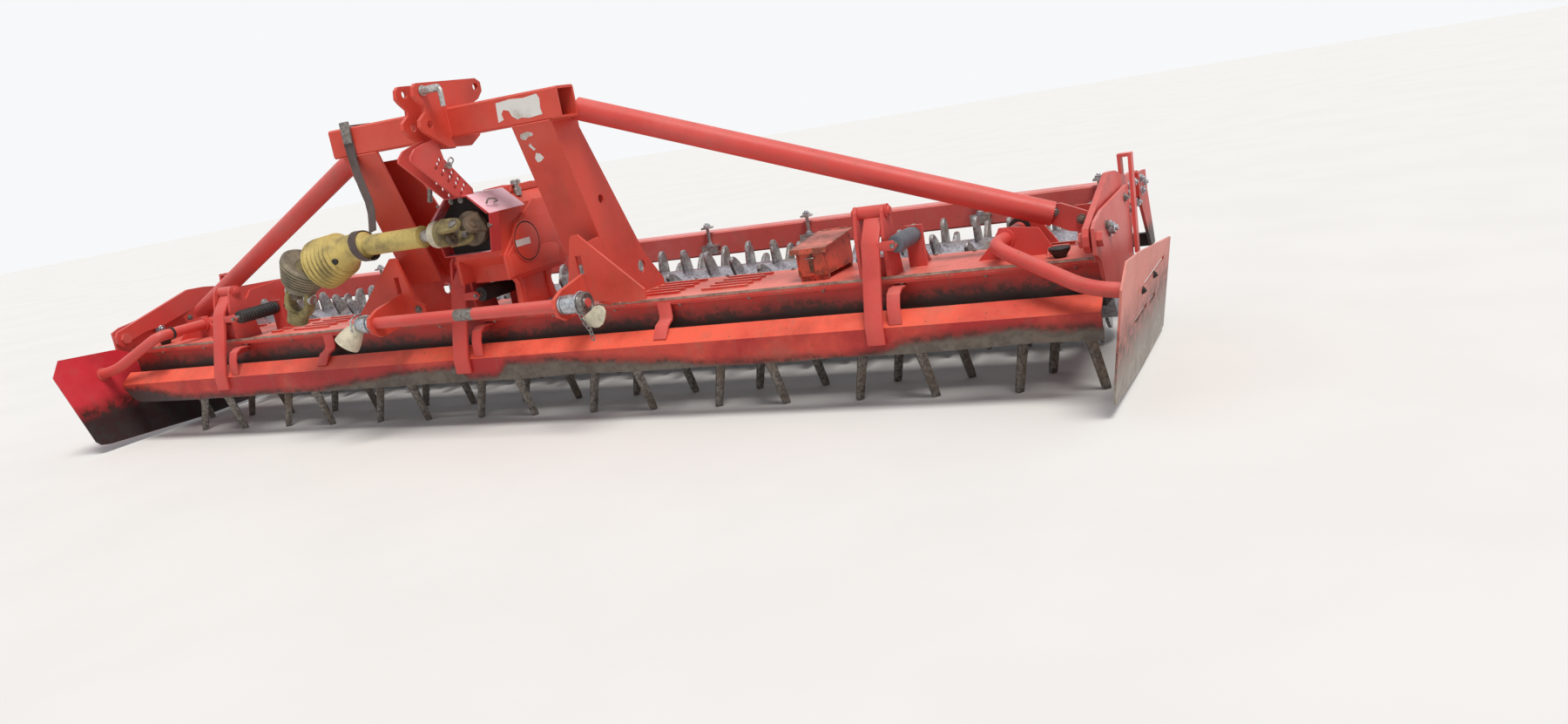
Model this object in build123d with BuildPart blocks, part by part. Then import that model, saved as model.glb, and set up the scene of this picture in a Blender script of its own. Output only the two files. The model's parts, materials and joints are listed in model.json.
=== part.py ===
"""Four-metre rotary power harrow with front levelling board and toothed packer roller.

Millimetres. X runs across the machine, -Y is the direction of travel and +Z is up.
The origin is on the ground under the middle of the machine. Places along Y are given
from the line of the rotor axes, which lies ROTOR_LINE in front of the origin.
"""
import os
from math import atan, atan2, cos, degrees, radians, sin, tan

from build123d import *

# Rotors and tines
ROTOR_COUNT = 16
ROTOR_PITCH = 250.0
ARM_ANGLE = -45.0             # direction from each axis to its near tine tip, at rest
TIP_RADIUS = 138.0
TINE_LEAN = 13.0              # how far the tines trail, from upright
TINE_TOP = 232.0
TINE_THICKNESS = 16.0
TINE_TIP_WIDTH = 34.0
TINE_TOP_WIDTH = 62.0
HUB_BOTTOM = 166.0
HUB_THICKNESS = 42.0
HUB_ARM_WIDTH = 66.0
HUB_WAIST = 58.0
SHAFT_RADIUS = 30.0
SHAFT_SIDES = 12
SHAFT_CLEARANCE = 0.3

# Trough: the long gear case that carries everything
TROUGH_HALF_LENGTH = ROTOR_COUNT * ROTOR_PITCH / 2
TROUGH_BOTTOM = 240.0
TROUGH_TOP = 372.0
TROUGH_HALF_DEPTH = 150.0
TROUGH_FLOOR_HALF = 112.0
TROUGH_FLOOR_RISE = 46.0
FLANGE_FRONT = -168.0
FLANGE_REAR = 190.0
FLANGE_THICKNESS = 8.0
COVER_THICKNESS = 8.0
COVER_TOP = TROUGH_TOP + COVER_THICKNESS
BEARING_RADIUS = 64.0
BEARING_DROP = 18.0
BEARING_SIDES = 8
RIDGE_HEIGHT = 8.0
RIDGE_WIDTH = 14.0
# Groups of pressed ridges: x of each end, and the first row that is there
RIDGE_GROUPS = (
    (-1620, -1531, 0), (-1270, -1215, 0), (-1143, -960, 0), (463, 633, 0), (719, 886, 0), (1790, 1881, 2),
)
RIDGE_ROWS = (-60, -12, 36, 84, 132)

# End panels of the trough and the pivots of the roller arms
END_PANEL = 10.0
PIVOT_Y = -192.0
PIVOT_Z = 437.0
PIVOT_BOLT_RADIUS = 14.0
PIVOT_NUT_RADIUS = 22.0
PIVOT_NUT = 13.0
SIDE_GAP = 6.0
ARM_PLATE = 18.0
ARM_OUTER = TROUGH_HALF_LENGTH - SIDE_GAP
ARM_INNER = ARM_OUTER - ARM_PLATE
STOP_PIN_Y = 300.0
STOP_PIN_RADIUS = 11.0
LOOP_INNER = TROUGH_HALF_LENGTH + END_PANEL + SIDE_GAP
LOOP_BAR = 10.0

# Levelling board and its three sprung arms
BOARD_HALF_LENGTH = 2009.0
BOARD_FRONT = -246.0
BOARD_FOLD = 252.0
BOARD_LOWER = 171.0
BOARD_REAR = -190.0
BOARD_REAR_Z = 292.0
BOARD_SHEET = 6.0
# Board arms: x of the middle, then the spring beside each: x, front y, rear y and z
BOARD_ARMS = (
    (-1390.0, (-1302.0, -170.0, 14.0, 471.0)),
    (-165.0, (-77.0, -184.0, 0.0, 463.0)),
    (1362.0, (1440.0, -170.0, -4.0, 478.0)),
)
BOARD_ARM_WIDTH = 70.0
BOARD_ARM_PLATE = 12.0
EYE_Y = -120.0
EYE_Z = 571.0
EYE_RADIUS = 20.0
CHEEK = 10.0
CHEEK_TOP = 590.0

# Headstock
BEAM_HALF_LENGTH = 478.0
BEAM_FRONT = -288.0
BEAM_REAR = -196.0
BEAM_LOWER = 991.0
BEAM_UPPER = 1087.0
BEAM_WALL = 8.0
LEG_INNER = 285.0
LEG_OUTER = 436.0
LEG_PLATE = 8.0
CHEEK_OUTER = 43.0
CHEEK_PLATE = 14.5
TOP_PIN_RADIUS = 12.5
TOP_BORE_RADIUS = 12.9
TOP_HOLES = ((-376.0, 1146.0), (-372.0, 1041.0), (-119.0, 1143.0))   # y, z
GUSSET_Y = -222.0
GUSSET_PLATE = 10.0

# Lower hitch, category 2
EAR_INNER = 382.0
EAR_PLATE = 15.0
HITCH_SHOULDER = 412.5
HITCH_Y = -376.0
HITCH_Z = 431.0
HITCH_BAR_RADIUS = 20.0
HITCH_PIN_RADIUS = 14.0
HITCH_PIN_END = 500.0
SEAT_CLEARANCE = 0.3

# Gearbox, guard and the parked drive shaft
GEARBOX_HALF_WIDTH = 100.0
GEARBOX_FRONT = -240.0
GEARBOX_COVER_X = (-112.0, 120.0)
GEARBOX_COVER_RADIUS = 68.0
NOSE_RADIUS = 50.0
GUARD_FRONT = -288.0
GUARD_SHEET = 4.0
GUARD_TOP = 805.0
PTO_Z = 690.0
PTO_Y = -330.0
SPLINE_RADIUS = 17.5
SHAFT_TUBE_RADIUS = 36.0
YOKE_RADIUS = 32.0
YOKE_END = (-806.0, PTO_Y, 454.0)
YOKE_BORE = 70.0
BELL_CENTRE = (-715.0, PTO_Y, 632.0)

# Roller and its frame
ROLLER_Y = 460.0
ROLLER_Z = 228.0
ROLLER_TIP_RADIUS = 228.0
DRUM_RADIUS = 148.0
DRUM_SIDES = 27
DRUM_HALF_LENGTH = 1932.0
RING_PITCH = 125.0
RING_COUNT = 31
RING_THICKNESS = 14.0
TEETH_PER_RING = 9
AXLE_RADIUS = 30.0
REAR_BEAM_FRONT = 650.0
REAR_BEAM_DEPTH = 92.0
REAR_BEAM_LOWER = 392.0
REAR_BEAM_HEIGHT = 92.0

# Side deflectors: the plate's inner face leans out from FOOT_X at FOOT_Z
DEFLECTOR_FOOT_X = 2042.0
DEFLECTOR_FOOT_Z = 48.0
DEFLECTOR_LEAN = degrees(atan(0.191))
DEFLECTOR_PLATE = 6.0
DEFLECTOR_FRONT = -453.0
DEFLECTOR_HINGE_X = 1715.0
DEFLECTOR_HINGE_Z = 437.0
DEFLECTOR_TUBE_RADIUS = 21.0

# Scraper bar behind the roller and its side carriers
SCRAPER_BAR = (740.0, 250.0, 30.0, 43.0)   # y, z, depth, height
CARRIER_PLATE = 10.0
CARRIER_REAR = 820.0

SIDES = (("left", -1), ("right", 1))

# Front tip of the perforated strut, the foremost point of the machine
STRUT_FRONT = -478.0

# Rotor line from the origin: the strut's tip and the scraper carriers' back are as far from it
ROTOR_LINE = -(STRUT_FRONT + CARRIER_REAR) / 2

os.makedirs("parts", exist_ok=True)


def finish(piece, node):
    """Label a finished piece and write its STEP file."""
    piece.part.label = node
    export_step(piece.part, f"parts/{node}.step")


def side_plane(x):
    """Plane across the machine at x, its own x along +Y and its own y along +Z."""
    return Plane(origin=(x, ROTOR_LINE, 0), x_dir=(0, 1, 0), z_dir=(1, 0, 0))


def front_plane(y):
    """Upright plane facing forward at y, its own x along +X and its own y along +Z."""
    return Plane(origin=(0, ROTOR_LINE + y, 0), x_dir=(1, 0, 0), z_dir=(0, -1, 0))


def level_plane(z):
    """Level plane at height z, with its middle on the rotor line."""
    return Plane(origin=(0, ROTOR_LINE, z), x_dir=(1, 0, 0), z_dir=(0, 0, 1))


def place(x, y, z):
    """Point at y from the rotor line."""
    return Vector(x, ROTOR_LINE + y, z)


def plate_between(side, near, far):
    """Start of a plate from |x| = near to |x| = far on one side, and its thickness."""
    return min(side * near, side * far), abs(far - near)


def rod_plane(start, end):
    """Plane at start that faces end."""
    direction = place(*end) - place(*start)
    return Plane(origin=place(*start), z_dir=direction.normalized())


def rotor_x(index):
    """Place of a rotor's axis across the machine."""
    return (index - (ROTOR_COUNT - 1) / 2) * ROTOR_PITCH


def deflector_plane(side):
    """Plane of a deflector's inner face, its own x along +Y and its own y up along the plate."""
    lean = radians(DEFLECTOR_LEAN)
    return Plane(
        origin=place(side * DEFLECTOR_FOOT_X, 0, DEFLECTOR_FOOT_Z), x_dir=(0, 1, 0),
        z_dir=(cos(lean), 0, -side * sin(lean)),
    )


# Trough with its bearing bosses; the rotor shafts run up against them.
trough_outline = [
    (-TROUGH_FLOOR_HALF, TROUGH_BOTTOM),
    (TROUGH_FLOOR_HALF, TROUGH_BOTTOM),
    (TROUGH_HALF_DEPTH, TROUGH_BOTTOM + TROUGH_FLOOR_RISE),
    (TROUGH_HALF_DEPTH, TROUGH_TOP - FLANGE_THICKNESS),
    (FLANGE_REAR, TROUGH_TOP - FLANGE_THICKNESS),
    (FLANGE_REAR, TROUGH_TOP),
    (FLANGE_FRONT, TROUGH_TOP),
    (FLANGE_FRONT, TROUGH_TOP - FLANGE_THICKNESS),
    (-TROUGH_HALF_DEPTH, TROUGH_TOP - FLANGE_THICKNESS),
    (-TROUGH_HALF_DEPTH, TROUGH_BOTTOM + TROUGH_FLOOR_RISE),
]
BEARING_FACE = TROUGH_BOTTOM - BEARING_DROP
with BuildPart() as trough:
    with BuildSketch(side_plane(-TROUGH_HALF_LENGTH)):
        Polygon(*trough_outline, align=None)
    extrude(amount=2 * TROUGH_HALF_LENGTH)
    with BuildSketch(level_plane(BEARING_FACE)):
        with GridLocations(ROTOR_PITCH, 0, ROTOR_COUNT, 1):
            RegularPolygon(BEARING_RADIUS, BEARING_SIDES)
    extrude(amount=BEARING_DROP)
finish(trough, "gear_trough")

# Cover plate with its groups of pressed ridges
with BuildPart() as cover:
    with BuildSketch(side_plane(-TROUGH_HALF_LENGTH)):
        Polygon((FLANGE_FRONT, TROUGH_TOP), (FLANGE_REAR, TROUGH_TOP), (FLANGE_REAR, COVER_TOP),
                (FLANGE_FRONT, COVER_TOP), align=None)
    extrude(amount=2 * TROUGH_HALF_LENGTH)
    with BuildSketch(level_plane(COVER_TOP)):
        for start, end, first_row in RIDGE_GROUPS:
            for row, y in list(enumerate(RIDGE_ROWS))[first_row:]:
                # Every second ridge is stepped back at both ends
                inset = RIDGE_WIDTH / 2 * (row % 2)
                with Locations(((start + end) / 2, y)):
                    Rectangle(end - start - 2 * inset, RIDGE_WIDTH)
    extrude(amount=RIDGE_HEIGHT)
finish(cover, "trough_cover")

# Rotors: one forged hub with two pads, a shaft and two trailing tines each
lean_reach = TINE_TOP * tan(radians(TINE_LEAN))
pad_offset = (HUB_BOTTOM + HUB_THICKNESS / 2) * tan(radians(TINE_LEAN))
PAD_FACE = TIP_RADIUS - TINE_THICKNESS / 2
half_forging = [
    (PAD_FACE, pad_offset - HUB_ARM_WIDTH / 2), (PAD_FACE, pad_offset + HUB_ARM_WIDTH / 2),
    (HUB_WAIST / 4, HUB_WAIST), (-HUB_WAIST * 0.7, HUB_WAIST * 0.75),
]
forging = half_forging + [(-outward, -ahead) for outward, ahead in half_forging]
for index in range(ROTOR_COUNT):
    x = rotor_x(index)
    turn = 1 if index % 2 == 0 else -1
    first = radians(ARM_ANGLE)
    with BuildPart() as rotor:
        hub_plane = Plane(origin=place(x, 0, HUB_BOTTOM), x_dir=(cos(first), sin(first), 0), z_dir=(0, 0, 1))
        with BuildSketch(hub_plane):
            Polygon(*[(outward, turn * ahead) for outward, ahead in forging], align=None)
        extrude(amount=HUB_THICKNESS)
        with BuildSketch(level_plane(HUB_BOTTOM + HUB_THICKNESS)):
            with Locations((x, 0)):
                RegularPolygon(SHAFT_RADIUS, SHAFT_SIDES)
        extrude(amount=BEARING_FACE - SHAFT_CLEARANCE - HUB_BOTTOM - HUB_THICKNESS)
        for half in (0, 180):
            reach = radians(ARM_ANGLE + half)
            outward = Vector(cos(reach), sin(reach), 0)
            ahead = Vector(-sin(reach), cos(reach), 0) * turn
            blade_plane = Plane(origin=place(x, 0, 0) + outward * TIP_RADIUS, x_dir=ahead, z_dir=outward)
            up = 1 if blade_plane.y_dir.Z > 0 else -1
            with BuildSketch(blade_plane):
                Polygon(
                    (-TINE_TIP_WIDTH / 2, 0),
                    (TINE_TIP_WIDTH / 2, 0),
                    (lean_reach + TINE_TOP_WIDTH / 2, up * TINE_TOP),
                    (lean_reach - TINE_TOP_WIDTH / 2, up * TINE_TOP),
                    align=None,
                )
            extrude(amount=TINE_THICKNESS / 2, both=True)
    finish(rotor, f"rotor_{index + 1:02d}")

# Roller arms: cranked plates inside the end panels, each with a loop that reaches round its panel
REAR_BEAM_UPPER = REAR_BEAM_LOWER + REAR_BEAM_HEIGHT
REAR_BEAM_REAR = REAR_BEAM_FRONT + REAR_BEAM_DEPTH
ARM_UNDER_FRONT = (172.0, 492.0)
ARM_UNDER_REAR = (400.0, 440.0)
arm_outline = [
    (PIVOT_Y - 23, PIVOT_Z + 33), (152, 571), (233, 567), (273, 561), (400, 530), (REAR_BEAM_FRONT, 516),
    (REAR_BEAM_REAR, REAR_BEAM_UPPER + 10), (REAR_BEAM_REAR, REAR_BEAM_LOWER), (REAR_BEAM_FRONT, 427),
    ARM_UNDER_REAR, ARM_UNDER_FRONT, (-13, 447), (-90, 444), (PIVOT_Y + 19, PIVOT_Z - 15),
    (PIVOT_Y + 10, PIVOT_Z - 34), (PIVOT_Y - 14, PIVOT_Z - 33), (PIVOT_Y - 35, PIVOT_Z - 12),
    (PIVOT_Y - 35, PIVOT_Z + 13),
]
LOOP_FRONT = 365.0
LOOP_REAR = 405.0
LOOP_TOP = 600.0
LOOP_FOOT = ((316.0, 304.0), (358.0, 304.0))
for name, side in SIDES:
    start, thickness = plate_between(side, ARM_INNER, ARM_OUTER)
    with BuildPart() as roller_arm:
        with BuildSketch(side_plane(start)):
            Polygon(*arm_outline, align=None)
            with Locations((PIVOT_Y, PIVOT_Z)):
                Circle(PIVOT_BOLT_RADIUS + SEAT_CLEARANCE, mode=Mode.SUBTRACT)
        extrude(amount=thickness)
        inner_start, inner_bar = plate_between(side, ARM_OUTER - LOOP_BAR, ARM_OUTER)
        with BuildSketch(side_plane(inner_start)):
            Polygon((LOOP_FRONT, 530), (LOOP_REAR, 525), (LOOP_REAR, LOOP_TOP), (LOOP_FRONT, LOOP_TOP),
                    align=None)
        extrude(amount=inner_bar)
        arch_start, arch_length = plate_between(side, ARM_OUTER - LOOP_BAR, LOOP_INNER + LOOP_BAR)
        with BuildSketch(side_plane(arch_start)):
            Polygon((LOOP_FRONT, LOOP_TOP - LOOP_BAR), (LOOP_REAR, LOOP_TOP - LOOP_BAR),
                    (LOOP_REAR, LOOP_TOP), (LOOP_FRONT, LOOP_TOP), align=None)
        extrude(amount=arch_length)
        leg_start, leg_bar = plate_between(side, LOOP_INNER, LOOP_INNER + LOOP_BAR)
        with BuildSketch(side_plane(leg_start)):
            Polygon(*LOOP_FOOT, (LOOP_REAR, LOOP_TOP), (LOOP_FRONT, LOOP_TOP), align=None)
        extrude(amount=leg_bar)
    finish(roller_arm, f"roller_arm_{name}")

# End panels with the pivot bolts that carry the arms and the pins that stop them
end_outline = [
    (-225, 400), (-225, 470), (-190, 484), (-85, 499), (338, 510), (346, 472), (344, 350), (330, 262),
    (-90, 262), (-137, 300), (-175, 378),
]
under_slope = atan2(ARM_UNDER_REAR[1] - ARM_UNDER_FRONT[1], ARM_UNDER_REAR[0] - ARM_UNDER_FRONT[0])
under_height = ARM_UNDER_FRONT[1] + (STOP_PIN_Y - ARM_UNDER_FRONT[0]) * tan(under_slope)
STOP_PIN_Z = under_height - (STOP_PIN_RADIUS + SEAT_CLEARANCE) / cos(under_slope)
for name, side in SIDES:
    start, thickness = plate_between(side, TROUGH_HALF_LENGTH, TROUGH_HALF_LENGTH + END_PANEL)
    with BuildPart() as end_plate:
        with BuildSketch(side_plane(start)):
            Polygon(*end_outline, align=None)
        extrude(amount=thickness)
        bolt_start, bolt_length = plate_between(side, ARM_INNER - PIVOT_NUT, TROUGH_HALF_LENGTH)
        with BuildSketch(side_plane(bolt_start)):
            with Locations((PIVOT_Y, PIVOT_Z)):
                Circle(PIVOT_BOLT_RADIUS)
            with Locations((STOP_PIN_Y, STOP_PIN_Z)):
                Circle(STOP_PIN_RADIUS)
        extrude(amount=bolt_length)
        nut_start, nut_length = plate_between(side, ARM_INNER - PIVOT_NUT - 1, ARM_INNER - 1)
        with BuildSketch(side_plane(nut_start)):
            with Locations((PIVOT_Y, PIVOT_Z)):
                RegularPolygon(PIVOT_NUT_RADIUS, 6)
        extrude(amount=nut_length)
        head_start, head_length = plate_between(side, TROUGH_HALF_LENGTH + END_PANEL, LOOP_INNER + LOOP_BAR)
        with BuildSketch(side_plane(head_start)):
            with Locations((PIVOT_Y, PIVOT_Z)):
                RegularPolygon(PIVOT_NUT_RADIUS, 6)
        extrude(amount=head_length)
    finish(end_plate, f"end_plate_{name}")

with BuildPart() as rear_beam:
    with BuildSketch(side_plane(-ARM_INNER)):
        with Locations(((REAR_BEAM_FRONT + REAR_BEAM_REAR) / 2, (REAR_BEAM_LOWER + REAR_BEAM_UPPER) / 2)):
            Rectangle(REAR_BEAM_DEPTH, REAR_BEAM_HEIGHT)
    extrude(amount=2 * ARM_INNER)
    chamfer(rear_beam.edges().filter_by(Axis.X), 6)
finish(rear_beam, "rear_beam")

# Bearing plates are bolted inside the arms and carry the roller's axle
BEARING_PLATE = 12.0
BEARING_PLATE_INNER = ARM_INNER - BEARING_PLATE
bearing_outline = [
    (396, 438), (457, 503), (REAR_BEAM_FRONT - 1, 514), (REAR_BEAM_FRONT - 1, 427), (560, 340),
    (ROLLER_Y + 68, ROLLER_Z), (ROLLER_Y + 42, ROLLER_Z - 56), (ROLLER_Y - 42, ROLLER_Z - 56),
    (ROLLER_Y - 68, ROLLER_Z), (396, 330),
]
for name, side in SIDES:
    start, thickness = plate_between(side, BEARING_PLATE_INNER, ARM_INNER)
    with BuildPart() as bearing:
        with BuildSketch(side_plane(start)):
            Polygon(*bearing_outline, align=None)
            with Locations((ROLLER_Y, ROLLER_Z)):
                Circle(AXLE_RADIUS + SEAT_CLEARANCE, mode=Mode.SUBTRACT)
        extrude(amount=thickness)
    finish(bearing, f"roller_bearing_{name}")

# Scraper bar with its side carriers and one blade between each pair of tooth rings
SCRAPER_TIP_GAP = 6.0
SCRAPER_WIDTH = 70.0
BLADE_THICKNESS = 6.0
bar_y, bar_z, bar_depth, bar_height = SCRAPER_BAR
blade_z = bar_z + bar_height / 2
blade_tip = ROLLER_Y + (DRUM_RADIUS ** 2 - (blade_z - ROLLER_Z) ** 2) ** 0.5 + SCRAPER_TIP_GAP
carrier_outline = [
    (600, 513), (760, 505), (760, 440), (CARRIER_REAR, bar_z), (745, 245), (590, 440),
]
with BuildPart() as scrapers:
    with BuildSketch(side_plane(-ARM_OUTER - CARRIER_PLATE)):
        with Locations((bar_y + bar_depth / 2, bar_z + bar_height / 2)):
            Rectangle(bar_depth, bar_height)
    extrude(amount=2 * (ARM_OUTER + CARRIER_PLATE))
    with BuildSketch(level_plane(blade_z)):
        with GridLocations(RING_PITCH, 0, RING_COUNT - 1, 1):
            with Locations((0, (blade_tip + bar_y + bar_depth / 2) / 2)):
                Rectangle(SCRAPER_WIDTH, bar_y + bar_depth / 2 - blade_tip)
    extrude(amount=BLADE_THICKNESS)
    for name, side in SIDES:
        start, thickness = plate_between(side, ARM_OUTER, ARM_OUTER + CARRIER_PLATE)
        with BuildSketch(side_plane(start)):
            Polygon(*carrier_outline, align=None)
        extrude(amount=thickness)
finish(scrapers, "scraper_bar")

# Screw adjusters along the front of the rear beam
ADJUSTER_X = (-1318, 385, 809, 1463, 1874)
ADJUSTER_Y = 632.0
ADJUSTER_WIDTH = 70.0
ADJUSTER_ROD_RADIUS = 7.0
ADJUSTER_CAP_Z = 501.0
ADJUSTER_CAP = 7.0
BRACKET_TOP = 436.0
bracket_outline = [
    (REAR_BEAM_FRONT, 403), (619, 403), (619, BRACKET_TOP), (REAR_BEAM_FRONT, BRACKET_TOP),
    (REAR_BEAM_FRONT, 428), (627, 428), (627, 411), (REAR_BEAM_FRONT, 411),
]
with BuildPart() as adjusters:
    for x in ADJUSTER_X:
        with BuildSketch(side_plane(x - ADJUSTER_WIDTH / 2)):
            Polygon(*bracket_outline, align=None)
        extrude(amount=ADJUSTER_WIDTH)
        with BuildSketch(level_plane(BRACKET_TOP)):
            with Locations((x, ADJUSTER_Y)):
                RegularPolygon(ADJUSTER_ROD_RADIUS, 6)
        extrude(amount=ADJUSTER_CAP_Z - BRACKET_TOP)
        with BuildSketch(level_plane(ADJUSTER_CAP_Z)):
            with Locations((x, ADJUSTER_Y)):
                Rectangle(34, 40)
        extrude(amount=ADJUSTER_CAP)
finish(adjusters, "scraper_adjusters")

# Packer roller: drum, stub axles and rings of curved fins
# Corners of one fin: height over the drum, angle past the start of its share
# A fin stands on two faces of the drum
FIN_CORNERS = ((0, 0), (ROLLER_TIP_RADIUS - DRUM_RADIUS, 13), (ROLLER_TIP_RADIUS - DRUM_RADIUS - 2, 20),
               (0, 2 * 360 / DRUM_SIDES))
fin_share = 360 / TEETH_PER_RING
with BuildPart() as roller:
    with BuildSketch(side_plane(-DRUM_HALF_LENGTH)):
        with Locations((ROLLER_Y, ROLLER_Z)):
            RegularPolygon(DRUM_RADIUS, DRUM_SIDES)
    extrude(amount=2 * DRUM_HALF_LENGTH)
    with BuildSketch(side_plane(-ARM_INNER)):
        with Locations((ROLLER_Y, ROLLER_Z)):
            Circle(AXLE_RADIUS)
    extrude(amount=ARM_INNER - DRUM_HALF_LENGTH)
    with BuildSketch(side_plane(DRUM_HALF_LENGTH)):
        with Locations((ROLLER_Y, ROLLER_Z)):
            Circle(AXLE_RADIUS)
    extrude(amount=ARM_INNER - DRUM_HALF_LENGTH)
    for ring in range(RING_COUNT):
        ring_x = (ring - (RING_COUNT - 1) / 2) * RING_PITCH
        phase = (ring % 3) * fin_share / 3
        with BuildSketch(side_plane(ring_x - RING_THICKNESS / 2)):
            for tooth in range(TEETH_PER_RING):
                corners = []
                for height, angle in FIN_CORNERS:
                    spot = radians(phase + tooth * fin_share + angle)
                    reach = DRUM_RADIUS + height
                    corners.append((ROLLER_Y + reach * cos(spot), ROLLER_Z + reach * sin(spot)))
                Polygon(*corners, align=None)
        extrude(amount=RING_THICKNESS)
finish(roller, "packer_roller")

# Levelling board: one folded sheet along the front
with BuildPart() as board:
    with BuildSketch(side_plane(-BOARD_HALF_LENGTH)):
        Polygon(
            (BOARD_FRONT, BOARD_LOWER), (BOARD_FRONT + BOARD_SHEET, BOARD_LOWER),
            (BOARD_FRONT + BOARD_SHEET, BOARD_FOLD - 3), (BOARD_REAR, BOARD_REAR_Z - BOARD_SHEET),
            (BOARD_REAR, BOARD_REAR_Z), (BOARD_FRONT, BOARD_FOLD), align=None,
        )
    extrude(amount=2 * BOARD_HALF_LENGTH)
finish(board, "levelling_board")

# Arms of the board: cranked bars that hang from an eye tube, each with a lug in front of its spring
ARM_KNEE = (-182.0, 488.0)
BRACKET_GAP = 2.0
SPRING_RADIUS = 27.0
SPRING_LUG = 24.0
arm_front = BOARD_FRONT - BOARD_ARM_PLATE
eye_length = BOARD_ARM_WIDTH + 2 * BRACKET_GAP
for number, (x, (spring_x, spring_front, spring_rear, spring_z)) in enumerate(BOARD_ARMS, 1):
    with BuildPart() as board_arm:
        with BuildSketch(side_plane(x - BOARD_ARM_WIDTH / 2)):
            Polygon(
                (EYE_Y - 14, EYE_Z - 14), (EYE_Y - 4, EYE_Z - 18), (ARM_KNEE[0] + 7, ARM_KNEE[1] - 2),
                (BOARD_FRONT, BOARD_FOLD + 4), (BOARD_FRONT, 205), (arm_front, 205),
                (arm_front, BOARD_FOLD + 8), (ARM_KNEE[0] - 6, ARM_KNEE[1] + 4), align=None,
            )
        extrude(amount=BOARD_ARM_WIDTH)
        with BuildSketch(side_plane(x - eye_length / 2)):
            with Locations((EYE_Y, EYE_Z)):
                Circle(EYE_RADIUS)
        extrude(amount=eye_length)
        with BuildSketch(side_plane(x + BOARD_ARM_WIDTH / 2 - 1)):
            with Locations((spring_front - SPRING_LUG / 2, spring_z)):
                Rectangle(SPRING_LUG, 1.5 * SPRING_RADIUS)
        extrude(amount=spring_x + SPRING_RADIUS / 2 - x - BOARD_ARM_WIDTH / 2 + 1)
    finish(board_arm, f"board_arm_{number}")

# Brackets on the trough that carry the arms' eyes, and the springs behind them
BRACKET_BLOCK_TOP = 440.0
cheek_outline = [
    (FLANGE_FRONT, COVER_TOP), (-50, COVER_TOP), (-92, CHEEK_TOP - 10), (-108, CHEEK_TOP),
    (-135, CHEEK_TOP), (-148, CHEEK_TOP - 14), (FLANGE_FRONT, 500),
]
for number, (x, spring) in enumerate(BOARD_ARMS, 1):
    with BuildPart() as bracket:
        for start in (x - eye_length / 2 - CHEEK, x + eye_length / 2):
            with BuildSketch(side_plane(start)):
                Polygon(*cheek_outline, align=None)
            extrude(amount=CHEEK)
        with BuildSketch(side_plane(x - eye_length / 2)):
            with Locations((-110, (COVER_TOP + BRACKET_BLOCK_TOP) / 2)):
                Rectangle(60, BRACKET_BLOCK_TOP - COVER_TOP)
        extrude(amount=eye_length)
    finish(bracket, f"board_bracket_{number}")
with BuildPart() as springs:
    for x, (spring_x, spring_front, spring_rear, spring_z) in BOARD_ARMS:
        with BuildSketch(front_plane(spring_front)):
            with Locations((spring_x, spring_z)):
                Circle(SPRING_RADIUS)
        extrude(amount=spring_front - spring_rear)
finish(springs, "board_springs")
ANCHOR_PLATE = 12.0
with BuildPart() as anchors:
    for x, (spring_x, spring_front, spring_rear, spring_z) in BOARD_ARMS:
        with BuildSketch(side_plane(spring_x - SPRING_RADIUS)):
            Polygon((spring_rear, COVER_TOP), (spring_rear + ANCHOR_PLATE, COVER_TOP),
                    (spring_rear + ANCHOR_PLATE, spring_z + SPRING_RADIUS),
                    (spring_rear, spring_z + SPRING_RADIUS), align=None)
        extrude(amount=2 * SPRING_RADIUS)
        with BuildSketch(side_plane(spring_x - ANCHOR_PLATE / 2)):
            Polygon((spring_rear, COVER_TOP), (spring_rear + 110, COVER_TOP), (spring_rear + 24, spring_z),
                    (spring_rear, spring_z), align=None)
        extrude(amount=ANCHOR_PLATE)
finish(anchors, "spring_anchors")

# Headstock: hollow cross-beam
beam_middle = ((BEAM_FRONT + BEAM_REAR) / 2, (BEAM_LOWER + BEAM_UPPER) / 2)
beam_depth = BEAM_REAR - BEAM_FRONT
beam_height = BEAM_UPPER - BEAM_LOWER
with BuildPart() as beam:
    with BuildSketch(side_plane(-BEAM_HALF_LENGTH)):
        with Locations(beam_middle):
            Rectangle(beam_depth, beam_height)
    extrude(amount=2 * BEAM_HALF_LENGTH)
    chamfer(beam.edges().filter_by(Axis.X), 6)
    with BuildSketch(side_plane(-BEAM_HALF_LENGTH)):
        with Locations(beam_middle):
            Rectangle(beam_depth - 2 * BEAM_WALL, beam_height - 2 * BEAM_WALL)
    extrude(amount=2 * BEAM_HALF_LENGTH, mode=Mode.SUBTRACT)
finish(beam, "headstock_beam")

# Headstock legs: channels that open inwards
LIP = 9.0
LEG_FRONT_FOOT = (-129.0, 517.0)
LEG_REAR_TOP = (-145.0, 957.0)
LEG_REAR_FOOT = (85.0, 506.0)
leg_web = [
    (BEAM_FRONT, BEAM_LOWER), (LEG_REAR_TOP[0], BEAM_LOWER), LEG_REAR_TOP, LEG_REAR_FOOT, (176, 401),
    (176, COVER_TOP), (-150, COVER_TOP), (-150, 440), LEG_FRONT_FOOT,
]
front_lip = [
    (BEAM_FRONT, BEAM_LOWER), LEG_FRONT_FOOT, (LEG_FRONT_FOOT[0] + LIP, LEG_FRONT_FOOT[1]),
    (BEAM_FRONT + LIP, BEAM_LOWER),
]
rear_lip = [
    (LEG_REAR_TOP[0] - LIP, LEG_REAR_TOP[1]), LEG_REAR_TOP, LEG_REAR_FOOT,
    (LEG_REAR_FOOT[0] - LIP, LEG_REAR_FOOT[1]),
]
WEB_HOLES = ((-107, 721, 15), (53, 467, 22))   # y, z, radius
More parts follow.
